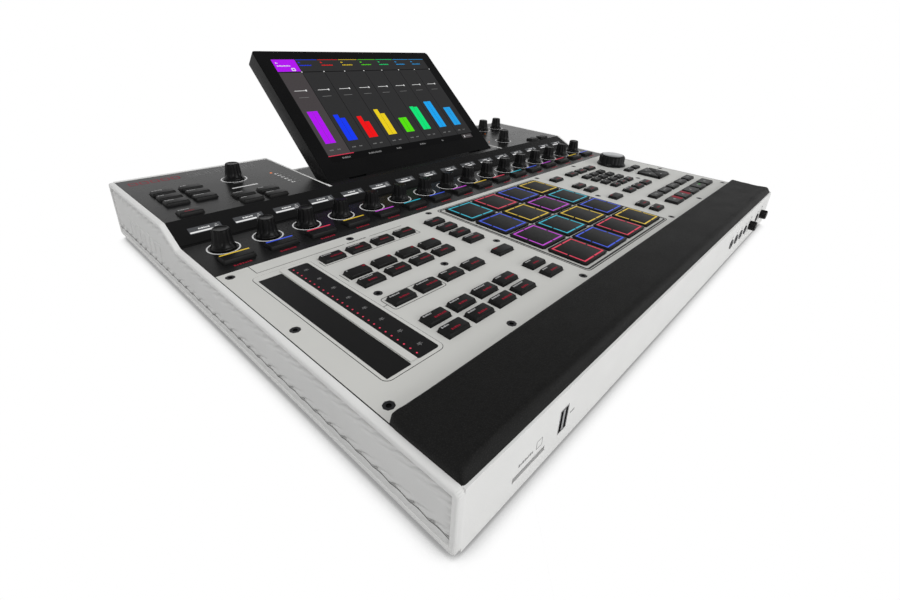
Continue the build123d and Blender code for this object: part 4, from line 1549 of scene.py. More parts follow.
# ---------------- pads
@dataclass
class Pads:
    """Sixteen soft pads, each with its lit border."""

    layout: Layout
    cap_size: float = 34.1 * MM
    stem_size: float = 32.9 * MM
    stem_depth: float = 3.5 * MM
    lip_rise: float = 1.05 * MM
    cap_corner: float = 1.3 * MM
    eased: float = 0.35 * MM
    ring_half: float = 14.9 * MM
    ring_width: float = 1.5 * MM
    break_half: float = 0.8 * MM
    ring_height: float = 0.06 * MM
    core_inset: float = 0.45 * MM
    core_width: float = 0.55 * MM
    core_rise: float = 0.02 * MM
    overlap: float = 0.2 * MM
    hair: float = 0.01 * MM
    rows: tuple[str, ...] = (
        "RED BLUE RED YELLOW",
        "MAGENTA CYAN YELLOW BLUE",
        "BLUE YELLOW MAGENTA CYAN",
        "CYAN RED BLUE YELLOW",
    )

    def build(self) -> None:
        """Make each pad and its border."""
        blank = self._blank()
        outer = self._corner(0.0, self.ring_width, self.ring_height)
        inner = self._corner(self.core_inset, self.core_width, self.ring_height + self.core_rise)
        names = " ".join(self.rows).split()
        for index, name in enumerate(names, start=1):
            node = f"pad_{index:02d}"
            low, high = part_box(node)
            middle = at((low.x + high.x) / 2, (low.y + high.y) / 2, high.z)
            blank.copy(f"{node}_cap", middle).mount(node, "rubber", (node,))
            quarters = [middle @ Matrix.Rotation(math.radians(90 * turn), 4, "Z") for turn in range(4)]
            lit = Glow(f"pad_light_{name.lower()}", Colour[name], 0.62, 0.4)
            core = Glow(f"pad_core_{name.lower()}", Colour[name], 1.1, 0.5)
            layers = []
            for pattern, finish in ((outer, lit), (inner, core)):
                layer = pattern.copy(f"{node}_border", Matrix.Identity(4)).repeat(f"{node}_border", quarters)
                layers.append(layer.dress(finish))
            Piece.joined(f"{node}_border", layers).mount(node, "rubber")
        for pattern in (blank, outer, inner):
            pattern.drop()

    def _blank(self) -> Piece:
        """One soft pad about the middle of its top: a stem under a slightly wider cap.

        Returns:
            The pattern piece.
        """
        low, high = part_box("pad_01")
        height = high.z - self.layout.panel_z
        stem = Piece.sheet("pad_stem", (self.stem_size, self.stem_size), (0.0, 0.0, low.z - high.z))
        stem.pick_points(lambda point: True).bevel(self.cap_corner, 2, corners=True)
        stem.pick_all().rise(self.stem_depth + self.lip_rise + self.overlap).outward()
        cap = Piece.sheet("pad_cap", (self.cap_size, self.cap_size), (0.0, 0.0, self.lip_rise - height))
        cap.pick_points(lambda point: True).bevel(self.cap_corner, 3, corners=True)
        cap.pick_all().rise(height - self.lip_rise).outward()
        cap.pick_edges(lambda a, b: min(a.z, b.z) > -self.hair).bevel(self.eased, 2)
        return Piece.joined("pad_blank", [stem, cap]).smooth().dress(PAD_RUBBER)

    def _corner(self, inset: float, width: float, height: float) -> Piece:
        """One quarter of a border line: a corner with two arms that stop short of the middle.

        Args:
            inset: How far inside the border's outer edge the line starts.
            width: The line's width.
            height: Its height above the pad.

        Returns:
            The pattern piece, in the quarter between +X and +Y.
        """
        reach = self.ring_half - inset
        start = reach - width / 2
        arm = reach - width - self.break_half
        corner = Piece.sheet("pad_border_corner", (width, width), (start, start, 0.0))
        inner = reach - width + self.hair
        corner.pick_edges(lambda a, b: max(a.x, b.x) < inner).push((-arm, 0.0, 0.0))
        corner.pick_edges(lambda a, b: max(a.y, b.y) < inner and min(a.x, b.x) > inner - 2 * self.hair)
        corner.push((0.0, -arm, 0.0))
        corner.pick_all().rise(height).outward()
        return corner


# ---------------- knobs and wheel
def sized(rings: tuple[Place, ...]) -> list[Place]:
    """Rings of radius and height, from millimetres to metres."""
    return [(radius * MM, height * MM) for radius, height in rings]


@dataclass(frozen=True)
class Turning:
    """A turned grip: its rings in millimetres from the bottom up, and its flutes."""

    rings: tuple[Place, ...]
    flutes: int
    flute_depth: float
    flute_low: float
    flute_high: float

    def grip(self, name: str) -> Piece:
        """Turn the piece and press its flutes.

        Args:
            name: The piece's name.

        Returns:
            The piece, dressed as a grip.
        """
        piece = Piece.turned(name, sized(self.rings), 6 * self.flutes)
        piece.flute(self.flutes, self.flute_depth, self.flute_low, self.flute_high)
        return piece.smooth(38.0).dress(KNOB_GRIP)


KNOB = Turning(
    (
        (3.0, -4.6), (3.0, -0.05), (8.1, 0.0), (8.75, 0.25), (8.75, 0.9), (8.3, 1.5),
        (7.75, 2.4), (7.3, 3.6), (7.1, 4.4), (6.85, 6.2), (6.55, 8.4), (6.25, 11.0),
        (6.0, 13.4), (5.85, 14.2), (5.5, 14.65), (5.0, 14.78), (4.7, 14.55), (1.0, 14.5),
    ),
    10, 0.75 * MM, 4.0 * MM, 14.3 * MM,
)
FRONT_KNOB = Turning(
    (
        (3.0, -4.6), (3.0, -0.05), (4.6, 0.0), (5.0, 0.3), (5.0, 5.2), (4.75, 5.9),
        (4.3, 6.15), (3.6, 6.0), (1.0, 5.98),
    ),
    10, 0.4 * MM, 0.5 * MM, 5.4 * MM,
)
WHEEL = Turning(
    (
        (3.0, -4.6), (3.0, -0.05), (17.6, 0.0), (18.35, 0.3), (18.35, 1.0), (17.4, 1.9),
        (16.6, 3.0), (16.3, 3.8), (16.25, 10.4), (15.7, 11.7), (14.6, 12.6), (13.6, 12.8),
        (13.1, 12.75), (13.05, 12.5), (12.9, 12.55), (12.9, 13.0), (12.7, 13.1), (1.0, 13.1),
    ),
    20, 0.7 * MM, 3.3 * MM, 11.9 * MM,
)


@dataclass
class Knobs:
    """The turned knobs with pressed flutes, and the white rings round them."""

    layout: Layout
    shaft: float = 4.6 * MM
    skirt_top: float = 3.7 * MM
    disc_foot: float = 12.6 * MM
    disc_radius: float = 12.91 * MM
    ring_outer: float = 11.3
    ring_inner: float = 10.2

    def build(self) -> None:
        """Make every knob, the wheel and the rings."""
        knob = KNOB.grip("knob_pattern")
        knob.dress(KNOB_PLASTIC, lambda middle, normal: middle.z < self.skirt_top)
        for node in sorted(frame["nodes"]):
            if node.startswith(("encoder_knob", "deck_knob")):
                knob.copy(f"{node}_turned", self._foot(node)).mount(node, "black_plastic", (node,))
        knob.drop()
        front = FRONT_KNOB.grip("front_knob_pattern")
        for node in ("front_knob_1", "front_knob_2"):
            low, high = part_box(node)
            seat = at((low.x + high.x) / 2, high.y - self.shaft, (low.z + high.z) / 2)
            front.copy(f"{node}_turned", seat @ UPRIGHT).mount(node, "black_plastic", (node,))
        front.drop()
        foot, radius = self.disc_foot, self.disc_radius
        wheel = WHEEL.grip("data_wheel_turned")
        wheel.dress(DISC_METAL, lambda middle, normal: middle.z > foot and middle.xy.length < radius)
        wheel.tilt(self._foot("data_wheel")).mount("data_wheel", "black_plastic", ("data_wheel",))
        self._white_rings()

    def _foot(self, node: str) -> Matrix:
        """The matrix that seats a turned piece where its node stands."""
        low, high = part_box(node)
        return at((low.x + high.x) / 2, (low.y + high.y) / 2, low.z + self.shaft)

    def _white_rings(self) -> None:
        """Print the white ring round each knob on the strip and the decks."""
        strip = MarkSheet("encoder_rings", INK_WHITE, self.layout.panel(), "case", "black_deck")
        deck = MarkSheet("deck_rings", INK_WHITE, self.layout.deck(), "case", "black_deck")
        for node in sorted(frame["nodes"]):
            low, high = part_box(node)
            x = (low.x + high.x) / 2 / MM
            y = (low.y + high.y) / 2
            if node.startswith("encoder_knob"):
                strip.ring(x, (y - self.layout.pad_y) / MM, self.ring_outer, self.ring_inner)
            if node.startswith("deck_knob"):
                deck.ring(x, (y - self.layout.deck_y) / MM, self.ring_outer, self.ring_inner)
        strip.done()
        deck.done()


# ---------------- encoder strip and windows
@dataclass
class EncoderStrip:
    """Colour bars on the strip's keys, red labels before them and the small displays behind."""

    layout: Layout
    bars: str = (
        "YELLOW BLUE RED YELLOW MAGENTA CYAN BLUE MAGENTA "
        "YELLOW RED CYAN BLUE MAGENTA RED YELLOW BLUE"
    )
    bar_size: Place = (20.4, 1.5)
    bar_behind: float = 1.8
    label_y: float = 90.6
    label_size: Place = (13.6, 2.0)
    window_foot: float = 10.3
    window_half: float = 11.4
    window_tall: float = 6.7
    light_lift: float = 0.08

    def build(self) -> None:
        """Make the bars, the labels and the displays."""
        node = "encoder_buttons"
        top = self.layout.top(node)
        sheets: dict[str, MarkSheet] = {}
        labels = MarkSheet("strip_red_labels", RED_PRINT_PAINTED_GLOW, self.layout.panel(), "case", "black_deck")
        ramp = self.layout.ramp()
        band = MarkSheet("window_bands", WINDOW_BAND, ramp, "case", "window_glass")
        light = MarkSheet("window_lights", WINDOW_LIGHT, ramp, "case", "window_glass")
        for (low, high), name in zip(solids_of(node), self.bars.split()):
            x = (low.x + high.x) / 2 / MM
            rear = (high.y - self.layout.pad_y) / MM
            if name not in sheets:
                glow = Glow(f"bar_light_{name.lower()}", Colour[name], 0.95, 0.4)
                sheets[name] = MarkSheet(f"encoder_bars_{name.lower()}", glow, top, node, "rubber")
            sheets[name].bar(x, rear - self.bar_behind, *self.bar_size)
            labels.word(x - self.label_size[0] / 2, self.label_y, *self.label_size)
            self._window(band, light, x)
        for sheet in (*sheets.values(), labels, band, light):
            sheet.done()

    def _window(self, band: MarkSheet, light: MarkSheet, x: float) -> None:
        """Draw one small display with plain bars.

        Args:
            band: The sheet of the dim parts.
            light: The sheet of the bright parts.
            x: The middle of the window in millimetres.
        """
        foot, half = self.window_foot, self.window_half
        band.plate((x - half, foot + 0.5), (x + half, foot + self.window_tall), 0.3, 0.02)
        light.bar(x - 3.0, foot + 1.6, 16.4, 1.5, lift=self.light_lift)
        light.word(x - 4.6, foot + 3.8, 8.0, 1.3, self.light_lift)
        for row in range(3):
            light.bar(x + 8.0, foot + 2.0 + row * 1.5, 3.6 - row, 0.35, lift=self.light_lift)


# ---------------- plate prints
@dataclass
class PanelPrints:
    """Thin dark lines and small marks printed on the pale plate, and dark lines of painted shade at the
    plate's gaps and seams.
    """

    layout: Layout
    line: float = 0.45
    pad_borders: tuple[Point, ...] = ((78.1, 4.0, 0.9), (76.5, 3.0, 1.7))
    lines_across: tuple[Point, ...] = (
        (-212.6, -14.5, 4.0),
        (-165.9, 51.8, 88.4),
        (-214.0, 72.2, 67.0),
        (-141.0, 72.2, 33.0),
    )
    lines_along: tuple[Point, ...] = (
        (-210.1, 55.4, 7.2),
        (-121.6, 55.4, 7.2),
        (-210.4, 29.4, 11.0),
        (-247.5, 78.0, 12.0),
    )
    strip_gap: float = 0.35
    strip_corner: float = 4.3
    seam_inside: float = 0.15
    seam_width: float = 0.55
    phone_sockets: tuple[float, ...] = (113.0, 130.6, 148.2, 165.8, 218.0)
    front_knobs: Place = (186.0, 237.5)

    def build(self) -> None:
        """Print the lines of the plate and the signs of the front wall."""
        self._plate()
        self._front()

    def _plate(self) -> None:
        """Print the dark lines of the plate, and paint shade into its gaps and seams."""
        dark = MarkSheet("plate_dark_lines", INK_DARK, self.layout.panel(), "case", "case_paint")
        # Painted shade: two dark lines at the gap round the pads' opening in the plate.
        for reach, corner, line in self.pad_borders:
            dark.border((-reach, -reach), (reach, reach), corner, line)
        dark.border((-210.6, -22.2), (-166.3, -6.7), 2.5, self.line)
        for x, y, length in self.lines_across:
            dark.bar(x, y, length, self.line)
        for x, y, length in self.lines_along:
            dark.bar(x, y, self.line, length)
        dark.word(-178.0, 71.5, 18.0, 1.2)
        # Painted shade: a dark line at the gap round the touch-strip insert.
        low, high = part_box("touch_strips")
        start = (low.x / MM - self.strip_gap, (low.y - self.layout.pad_y) / MM - self.strip_gap)
        end = (high.x / MM + self.strip_gap, (high.y - self.layout.pad_y) / MM + self.strip_gap)
        dark.border(start, end, self.strip_corner, self.line)
        # Painted shade: a dark line along each side seam where the plate meets a cheek.
        low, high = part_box("control_plate")
        middle = (high.y + low.y) / 2 / MM - self.layout.pad_y / MM
        for side in (-1, 1):
            dark.bar(side * (high.x / MM - self.seam_inside), middle, self.seam_width, (high.y - low.y) / MM)
        dark.done()

    def _front(self) -> None:
        """Print plain signs by the sockets of the front wall."""
        grey = MarkSheet("front_wall_signs", INK_GREY, self.layout.front(), "case", "case_paint")
        grey.border((-218.9, -21.0), (-214.0, -16.0), 0.6, 0.35)
        grey.word(-232.6, -20.6, 12.0, 1.6)
        grey.word(-188.4, -20.0, 4.6, 1.2)
        for x in self.phone_sockets:
            grey.word(x - 2.2, -12.6, 4.4, 1.2)
        for x in self.front_knobs:
            grey.word(x - 3.0, -10.6, 6.0, 1.2)
        grey.done()


@dataclass
class TouchStrips:
    """The two dark touch strips with their divider, lights and marks."""

    layout: Layout
    insert_lift: float = 0.2 * MM
    face_thickness: float = 0.12
    lamp_count: int = 25
    lamp_pitch: float = 5.0
    lamp_x: float = -228.6
    lamp_radius: float = 0.55
    sign_count: int = 8
    sign_start: float = -55.8
    sign_pitch: float = 15.76
    sign_x: float = -222.4

    def build(self) -> None:
        """Lay the strips on their insert and light them."""
        dress_node("touch_strips", CASE_PAINT)
        insert = at(0.0, 0.0, self.insert_lift) @ self.layout.panel()
        over = self.face_thickness
        dark = MarkSheet("touch_strip_faces", STRIP_PLASTIC, insert, "case", "strip_plastic", over * MM)
        dark.plate((-252.1, -64.7), (-236.5, 60.9), 0.5)
        dark.plate((-231.4, -64.1), (-216.3, 63.9), 1.6)
        dark.done()
        lamps = MarkSheet("touch_strip_lamps", RED_LAMP, insert, "case", "strip_plastic")
        for index in range(self.lamp_count):
            y = (index - (self.lamp_count - 1) / 2) * self.lamp_pitch
            lamps.dot(self.lamp_x, y, self.lamp_radius, over)
        lamps.done()
        signs = MarkSheet("touch_strip_signs", INK_GREY, insert, "case", "strip_plastic")
        for index in range(self.sign_count):
            y = self.sign_start + index * self.sign_pitch
            signs.bar(self.sign_x, y, 3.4, 0.35, lift=over)
            signs.bar(self.sign_x, y, 0.35, 2.2, lift=over)
            signs.word(self.sign_x - 1.2, y + 0.7, 2.4, 0.7, over)
        signs.done()


@dataclass
class DeckPrints:
    """Small marks and lamps on the two black decks."""

    layout: Layout
    fader_steps: int = 6
    fader_pitch: float = 6.4
    table_places: Place = (214.0, 32.6)
    table_pitch: Place = (12.4, 5.6)
    knob_words: tuple[Point, ...] = (
        (162.4, 6.8, 1.4),
        (194.6, 72.0, 1.4),
        (226.4, 72.0, 1.4),
        (-193.0, 58.0, 1.2),
    )
    lamps: tuple[Point, ...] = ((-152.0, 70.0, 1.2), (181.5, 71.5, 0.8), (144.7, 33.5, 0.8))

    def build(self) -> None:
        """Print both decks."""
        white = self._sheet("deck_white_marks", INK_WHITE)
        white.plate((-200.0, 45.2), (-177.0, 47.4), 0.3)
        grey = self._sheet("deck_grey_marks", INK_GREY)
        for column in range(3):
            for row in range(5):
                x = self.table_places[0] + self.table_pitch[0] * column
                grey.word(x, self.table_places[1] + self.table_pitch[1] * row, 7.4, 1.2)
        for index in range(self.fader_steps):
            white.word(-151.2, 31.4 + self.fader_pitch * index, 4.6, 2.4)
            grey.word(-144.6, 32.4 + self.fader_pitch * index, 2.6, 1.0)
        white.done()
        for index in range(7):
            grey.border((-214.0 + 9.0 * index, 101.0), (-207.0 + 9.0 * index, 112.0), 1.2, 0.7)
        for x, y, height in self.knob_words:
            grey.word(x, y, 12.0, height)
        grey.done()
        red = self._sheet("deck_red_marks", RED_PRINT_PAINTED_GLOW)
        for index in range(5):
            red.border((-262.0 + 8.4 * index, 102.0), (-255.4 + 8.4 * index, 110.0), 1.0, 0.9)
        red.done()
        lit = self._sheet("deck_lamps", ORANGE_LAMP)
        for lamp in self.lamps:
            lit.dot(*lamp)
        lit.done()

    def _sheet(self, name: str, finish: Finish) -> MarkSheet:
        """A sheet of marks on the decks."""
        return MarkSheet(name, finish, self.layout.deck(), "case", "black_deck")


# ---------------- screen
@dataclass
class Screen:
    """The tilting screen: a soft-edged shell, black glass and a plain mixer picture."""

    layout: Layout
    shell_round: float = 1.2 * MM
    shell_corner: float = 3.5 * MM
    glass_corner: float = 2.8 * MM
    cut_reach: float = 20.0 * MM
    clear: float = 0.01 * MM
    low: float = 21.2
    high: float = 156.8
    half: float = 108.5
    tab_top: float = 29.9
    header: float = 17.5
    bar_foot: float = 44.5
    bar_width: float = 6.0
    pan_line: float = 113.4
    second_line: float = 104.4
    level_tops: tuple[Place, ...] = (
        (86.0, 86.0),
        (79.0, 74.0),
        (74.0, 66.0),
        (81.0, 74.5),
        (65.5, 65.5),
        (80.0, 79.0),
        (85.5, 85.5),
        (73.5, 73.5),
    )
    level_colours: str = "PURPLE DEEP_BLUE PURE_RED GOLD LIME SEA_GREEN SKY_BLUE LIGHT_BLUE"
    bar_starts: Place = (-8.5, -2.3)
    columns: int = 8
    ground: float = 0.02
    field: float = 0.06
    rule: float = 0.08
    mark: float = 0.1
    over: float = 0.12
    line: float = 0.14
    front: float = 0.16
    tab_words: tuple[Place, ...] = ((14.0, 11.0), (47.0, 17.0), (85.5, 8.0), (121.0, 9.0), (157.0, 4.0))

    def build(self) -> None:
        """Make the shell and the picture."""
        shell = self._rounded("screen_shell_eased", "screen_shell", self.shell_corner)
        shell.pick_sharp(50.0).bevel(self.shell_round, 3).smooth(35.0).dress(SHELL_PLASTIC)
        shell.mount("screen", "black_plastic", ("screen_shell",))
        glass = self._rounded("screen_glass_rounded", "screen_glass", self.glass_corner)
        glass.smooth(30.0).dress(BLACK_GLASS).mount("screen", "screen_glass", ("screen_glass",))
        self._picture()

    def _rounded(self, name: str, node: str, corner: float) -> Piece:
        """Copy a node of the slab and round its two upper corners.

        Args:
            name: The copy's name.
            node: The node.
            corner: The corners' radius.

        Returns:
            The copy.
        """
        slab = Piece.from_node(name, node)
        face = self.layout.hinge()
        flat = face.inverted()
        points = [flat @ point.co for point in slab.obj.data.vertices]
        half = max(point.x for point in points) + self.clear
        top = max(point.y for point in points) + self.clear
        middle = (0.0, (top - self.cut_reach) / 2, -self.cut_reach)
        cutter = Piece.sheet("slab_cutter", (2 * half, top + self.cut_reach), middle)
        cutter.pick_points(lambda point: point.y > 0).bevel(corner, 7, corners=True)
        cutter.pick_all().rise(1.2 * self.cut_reach).outward().tilt(face)
        slab.modifier("BOOLEAN", operation="INTERSECT", solver="EXACT", object=cutter.obj)
        cutter.drop()
        return slab

    def _sheet(self, name: str, finish: Finish) -> MarkSheet:
        """A sheet of marks on the glass."""
        return MarkSheet(name, finish, self.layout.hinge(), "screen", "screen_glass")

    def _picture(self) -> None:
        """Draw eight plain level columns, their header and the row of tabs."""
        ground = self._sheet("picture_ground", PICTURE_GROUND)
        ground.plate((-self.half, self.low), (self.half, self.high), 0.0, self.ground)
        ground.done()
        dark = self._sheet("picture_dark", PICTURE_DARK)
        pale = self._sheet("picture_pale", PICTURE_PALE)
        white = self._sheet("picture_white", PICTURE_WHITE)
        dim = self._sheet("picture_dim", PICTURE_DIM)
        pitch = 2 * self.half / self.columns
        ceiling = self.high - self.header
        tall = ceiling - self.tab_top
        waist = self.tab_top + tall / 2
        dark.bar(0.0, (self.low + self.tab_top) / 2, 2 * self.half, self.tab_top - self.low, lift=self.field)
        pale.bar(-self.half + pitch / 2, waist, pitch - 0.8, tall, lift=self.field)
        for index in range(self.columns):
            x = -self.half + pitch * (index + 0.5)
            self._level(index, x, pitch)
            dark.bar(x + pitch / 2, waist, 0.5, tall, lift=self.rule)
            white.bar(x - 1.5, self.pan_line, 13.0, 0.6, lift=self.mark)
            white.bar(x + 5.4, self.pan_line, 1.6, 2.2, lift=self.over)
            white.bar(x + pitch / 2 - 0.2, ceiling - 0.6, 1.3, 1.3, lift=self.over)
            dim.bar(x - 1.5, self.second_line, 11.0, 0.5, lift=self.mark)
            dim.word(x - 8.5, 35.5, 5.0, 1.3, self.mark)
            dim.word(x + 0.6, 35.5, 4.4, 1.3, self.mark)
        dark.bar(0.0, ceiling - 0.6, 2 * self.half, 1.0, lift=self.rule)
        left, head = -self.half + 3.0, self.high
        white.word(left, head - 6.0, 4.0, 1.6, self.front)
        white.word(left, head - 10.0, 15.0, 1.5, self.front)
        white.border((left + 14.0, head - 16.4), (left + 18.5, head - 12.4), 0.8, 1.0, self.front)
        self._tabs(pale, white, dim)
        for sheet in (dark, pale, white, dim):
            sheet.done()

    def _level(self, index: int, x: float, pitch: float) -> None:
        """Draw one column's two level bars and its header.

        Args:
            index: The column's number from the left.
            x: Its middle in millimetres.
            pitch: The columns' pitch.
        """
        name = self.level_colours.split()[index]
        lit = Glow(f"level_{name.lower()}", Colour[name], 0.8, 0.2, 0.12)
        level = self._sheet(f"picture_level_{index + 1}", lit)
        foot, width = self.bar_foot, self.bar_width
        for start, top in zip(self.bar_starts, self.level_tops[index]):
            level.bar(x + start + width / 2, (foot + top) / 2, width - 0.1, top - foot, lift=self.mark)
        if index:
            left = x - pitch / 2 + 2.0
            level.bar(x, self.high - 0.8, pitch - 1.5, 0.5, lift=self.mark)
            level.word(left, self.high - 5.5, 4.0, 1.6, self.mark)
            level.word(left, self.high - 9.5, 14.0, 1.3, self.mark)
        else:
            level.bar(x, self.high - self.header / 2, pitch - 0.6, self.header - 0.8, lift=self.mark)
        level.done()

    def _tabs(self, pale: MarkSheet, white: MarkSheet, dim: MarkSheet) -> None:
        """Draw the row of tabs under the columns.

        Args:
            pale: The sheet of the paler fields.
            white: The sheet of the bright marks.
            dim: The sheet of the dim marks.
        """
        red = self._sheet("picture_tab_line", PICTURE_RED)
        red.bar(-self.half + 15.0, self.low + 8.2, 30.0, 0.8, lift=self.line)
        red.done()
        for start, length in self.tab_words:
            dim.word(-self.half + start, self.low + 3.2, length, 1.9, self.over)
        pale.bar(self.half - 13.0, self.low + 4.4, 18.0, 6.0, lift=self.mark)
        white.bar(self.half - 18.0, self.low + 4.4, 1.4, 3.2, lift=self.front)
        dim.word(self.half - 15.0, self.low + 3.6, 9.0, 1.7, self.front)


# ---------------- small hardware
@dataclass
class Hardware:
    """Countersunk screws, sockets with their metal and the dressed hidden parts."""

    layout: Layout
    screw_rings: tuple[Place, ...] = (
        (1.5, -4.5), (1.5, -1.3), (2.0, -1.2), (2.95, -0.25), (2.8, -0.1), (1.35, -0.12), (1.35, -0.9)
    )
    recess_radius: float = 1.36 * MM
    recess_depth: float = 1.0 * MM
    metal_depth: float = 16 * MM
    metal_span: Place = (-0.2, -0.19)
    rim_radii: Place = (4.7, 2.6)
    rim_rise: float = 0.75 * MM

    def build(self) -> None:
        """Make the screws and sockets and dress what stays."""
        self._screws()
        self._sockets()
        dress_node("rubber_feet", FOOT_RUBBER)
        dress_node("main_board", BOARD)
        dress_node("hinge_brackets", SCREW_STEEL)
        dress_node("display_windows", WINDOW_GLASS)

    def _screws(self) -> None:
        """Model one screw with a hexagon socket and copy it to every hole."""
        head = Piece.turned("panel_screw", sized(self.screw_rings), 24)
        head.smooth(30.0).dress(SCREW_STEEL)
        # The hexagon socket's faces are near black: painted shade in the recess.
        head.dress(
            SCREW_RECESS_SHADE,
            lambda middle, normal: middle.xy.length < self.recess_radius and middle.z > -self.recess_depth,
        )
        places = []
        for low, high in solids_of("panel_screws"):
            places.append(at((low.x + high.x) / 2, (low.y + high.y) / 2, high.z))
        head.repeat("panel_screw_heads", places).mount("case", "black_screw", ("panel_screws",))

    def _sockets(self) -> None:
        """Dress the sockets, with bright metal at the upright socket and the phone rings."""
        sockets = Piece.from_node("socket_set", "sockets")
        sockets.smooth(30.0).dress(SOCKET_PLASTIC)
        behind = self.layout.front_y + self.metal_depth
        left, right = self.metal_span
        sockets.dress(BRIGHT_STEEL, lambda middle, normal: middle.y < behind and left < middle.x < right)
        sockets.mount("case", "socket_metal", ("sockets",))
        front = self.layout.front()
        rings = MarkSheet("phone_socket_rims", SCREW_STEEL, front, "case", "socket_metal", self.rim_rise)
        for low, high in solids_of("sockets"):
            middle = (low + high) / 2
            if middle.y < 0 and middle.x > 0.1:
                rings.ring(middle.x / MM, (middle.z - self.layout.panel_z) / MM, *self.rim_radii, 32)
        rings.done()


# ---------------- cheeks
@dataclass
class Cheek:
    """One end cheek, with a sunk panel that looks like cloth pulled under a lip.

    Its side is minus one for the left cheek and one for the right.
    """

    layout: Layout
    side: int
    node: str
    rim: float = 3.3 * MM
    eased: float = 0.25 * MM
    columns: int = 420
    rows: int = 56
    lobe: float = 12.0 * MM
    seam_rise: float = 7.6 * MM
    seam_swing: float = 1.0 * MM
    groove_half: float = 0.7 * MM
    groove_depth: float = 1.3 * MM
    # The seam's line of painted shade: width in millimetres, pieces per lobe, and how far below the cloth's
    # rest depth it lies.
    thread_width: float = 0.4
    thread_steps: int = 6
    thread_under: float = 0.12 * MM
    rest_depth: float = 0.45 * MM
    deeper: float = 1.7 * MM
    most_depth: float = 2.8 * MM
    cloth_thickness: float = 0.03 * MM
    fold_angle: float = 23.0
    crease_depth: float = 1.4 * MM
    crease_reach: float = 7.0 * MM
    crease_power: int = 5
    hollow_lag: float = 0.9
    tip_depth: float = 2.3 * MM
    tip_reach: float = 9.0 * MM
    tip_power: float = 1.3
    scallop: float = 4.5 * MM
    scallop_depth: float = 1.3 * MM
    scallop_reach: float = 2.6 * MM
    bars: int = 7
    bar_start: Place = (16.0, 5.0)
    bar_pitch: float = 11.5
    bar_width: float = 7.5
    bar_heights: Place = (15.0, 10.0)
    bar_lean: float = -12.0
    bar_rise: float = 0.25 * MM

    def __post_init__(self) -> None:
        """Read the cheek's box and the edges of its sunk panel."""
        self.low, self.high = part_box(self.node)
        self.outer = self.low.x if self.side < 0 else self.high.x
        self.start = self.low.y + self.rim
        self.end = self.high.y - self.rim
        self.foot = self.low.z + self.rim

    def build(self) -> None:
        """Make the rim, the cloth-like panel, the line of painted shade in its seam and its raised bars."""
        self._shell()
        self._cloth()
        self._thread()
        self._raised_bars()

    def _shell(self) -> None:
        """Ease the edges of the rim and sink the panel's floor."""
        outer, side = self.outer, self.side
        cheek = Piece.from_node(f"{self.node}_rim", self.node)
        cheek.pick_edges(lambda a, b: abs(a.x - outer) < 0.01 * MM and abs(b.x - outer) < 0.01 * MM)
        cheek.bevel(self.eased, 2)
        cheek.pick_faces(lambda middle, normal: normal.x * side > 0.99 and abs(middle.x - outer) > 0.9 * MM)
        cheek.move((-side * self.deeper, 0.0, 0.0))
        cheek.smooth(50.0).dress(SHELL_PAINT)
        cheek.mount("case", "case_paint", (self.node,))

    def _top(self, y: float) -> float:
        """Height of the cheek's top edge at a place along it."""
        share = min(max((y - self.layout.ramp_y) / self.layout.ramp_run, 0.0), 1.0)
        return self.layout.panel_z + share * (self.layout.deck_z - self.layout.panel_z)

    def _seam(self, y: float) -> float:
        """Height of the wavy seam above the panel's lower edge at a place along the cheek."""
        return self.seam_rise - self.rim + self.seam_swing * abs(math.sin(math.pi * y / self.lobe))

    def _depth(self, y: float, z: float, top: float) -> float:
        """How deep the cloth lies at a place.

        Args:
            y: The place along the cheek.
            z: Its height.
            top: The height of the sunk panel's upper edge.

        Returns:
            The depth below the rim's face.
        """
        line = self.foot + self._seam(y)
        groove = self.groove_depth * max(0.0, 1 - abs(z - line) / self.groove_half)
        if z < line:
            return self.rest_depth + groove
        slope = math.tan(math.radians(self.fold_angle))
        phase = 2 * math.pi * (y + (z - line) / slope) / self.lobe
        crease = (0.5 + 0.5 * math.cos(phase)) ** self.crease_power
        near = max(0.0, 1 - (z - line) / self.crease_reach)
        hollow = (0.5 + 0.5 * math.cos(phase + self.hollow_lag)) ** 2
        tip = max(0.0, 1 - (top - z) / self.tip_reach) ** self.tip_power
        return self.rest_depth + groove + self.crease_depth * crease * near + self.tip_depth * hollow * tip

    def _end_depth(self, y: float, z: float) -> float:
        """How much deeper the cloth lies in the small scallops by the two end rims."""
        near = max(0.0, 1 - min(y - self.start, self.end - y) / self.scallop_reach)
        return self.scallop_depth * abs(math.cos(math.pi * z / self.scallop)) * near

    def _cloth(self) -> None:
        """Make the sunk panel as a fine grid that follows the depth."""
        cloth = Piece.grid(f"{self.node}_cloth", self.columns, self.rows)
        for point in cloth.obj.data.vertices:
            y = self.start + (point.co.x + 0.5) * (self.end - self.start)
            top = self._top(y) - self.rim
            z = self.foot + (point.co.y + 0.5) * (top - self.foot)
            depth = self._depth(y, z, top) + self._end_depth(y, z)
            point.co = (self.outer - self.side * min(depth, self.most_depth), y, z)
        cloth.modifier("SOLIDIFY", thickness=self.cloth_thickness, offset=float(self.side))
        cloth.outward().smooth(60.0).dress(CLOTH_PAINT)
        cloth.mount("case", "case_paint")

    def _face(self, y: float, z: float, depth: float) -> Matrix:
        """A surface that looks out of the cheek, from a place on it at a depth below its rim."""
        turned = Matrix.Rotation(self.side * math.pi / 2, 4, "Z") @ UPRIGHT
        return at(self.outer - self.side * depth, y, z) @ turned

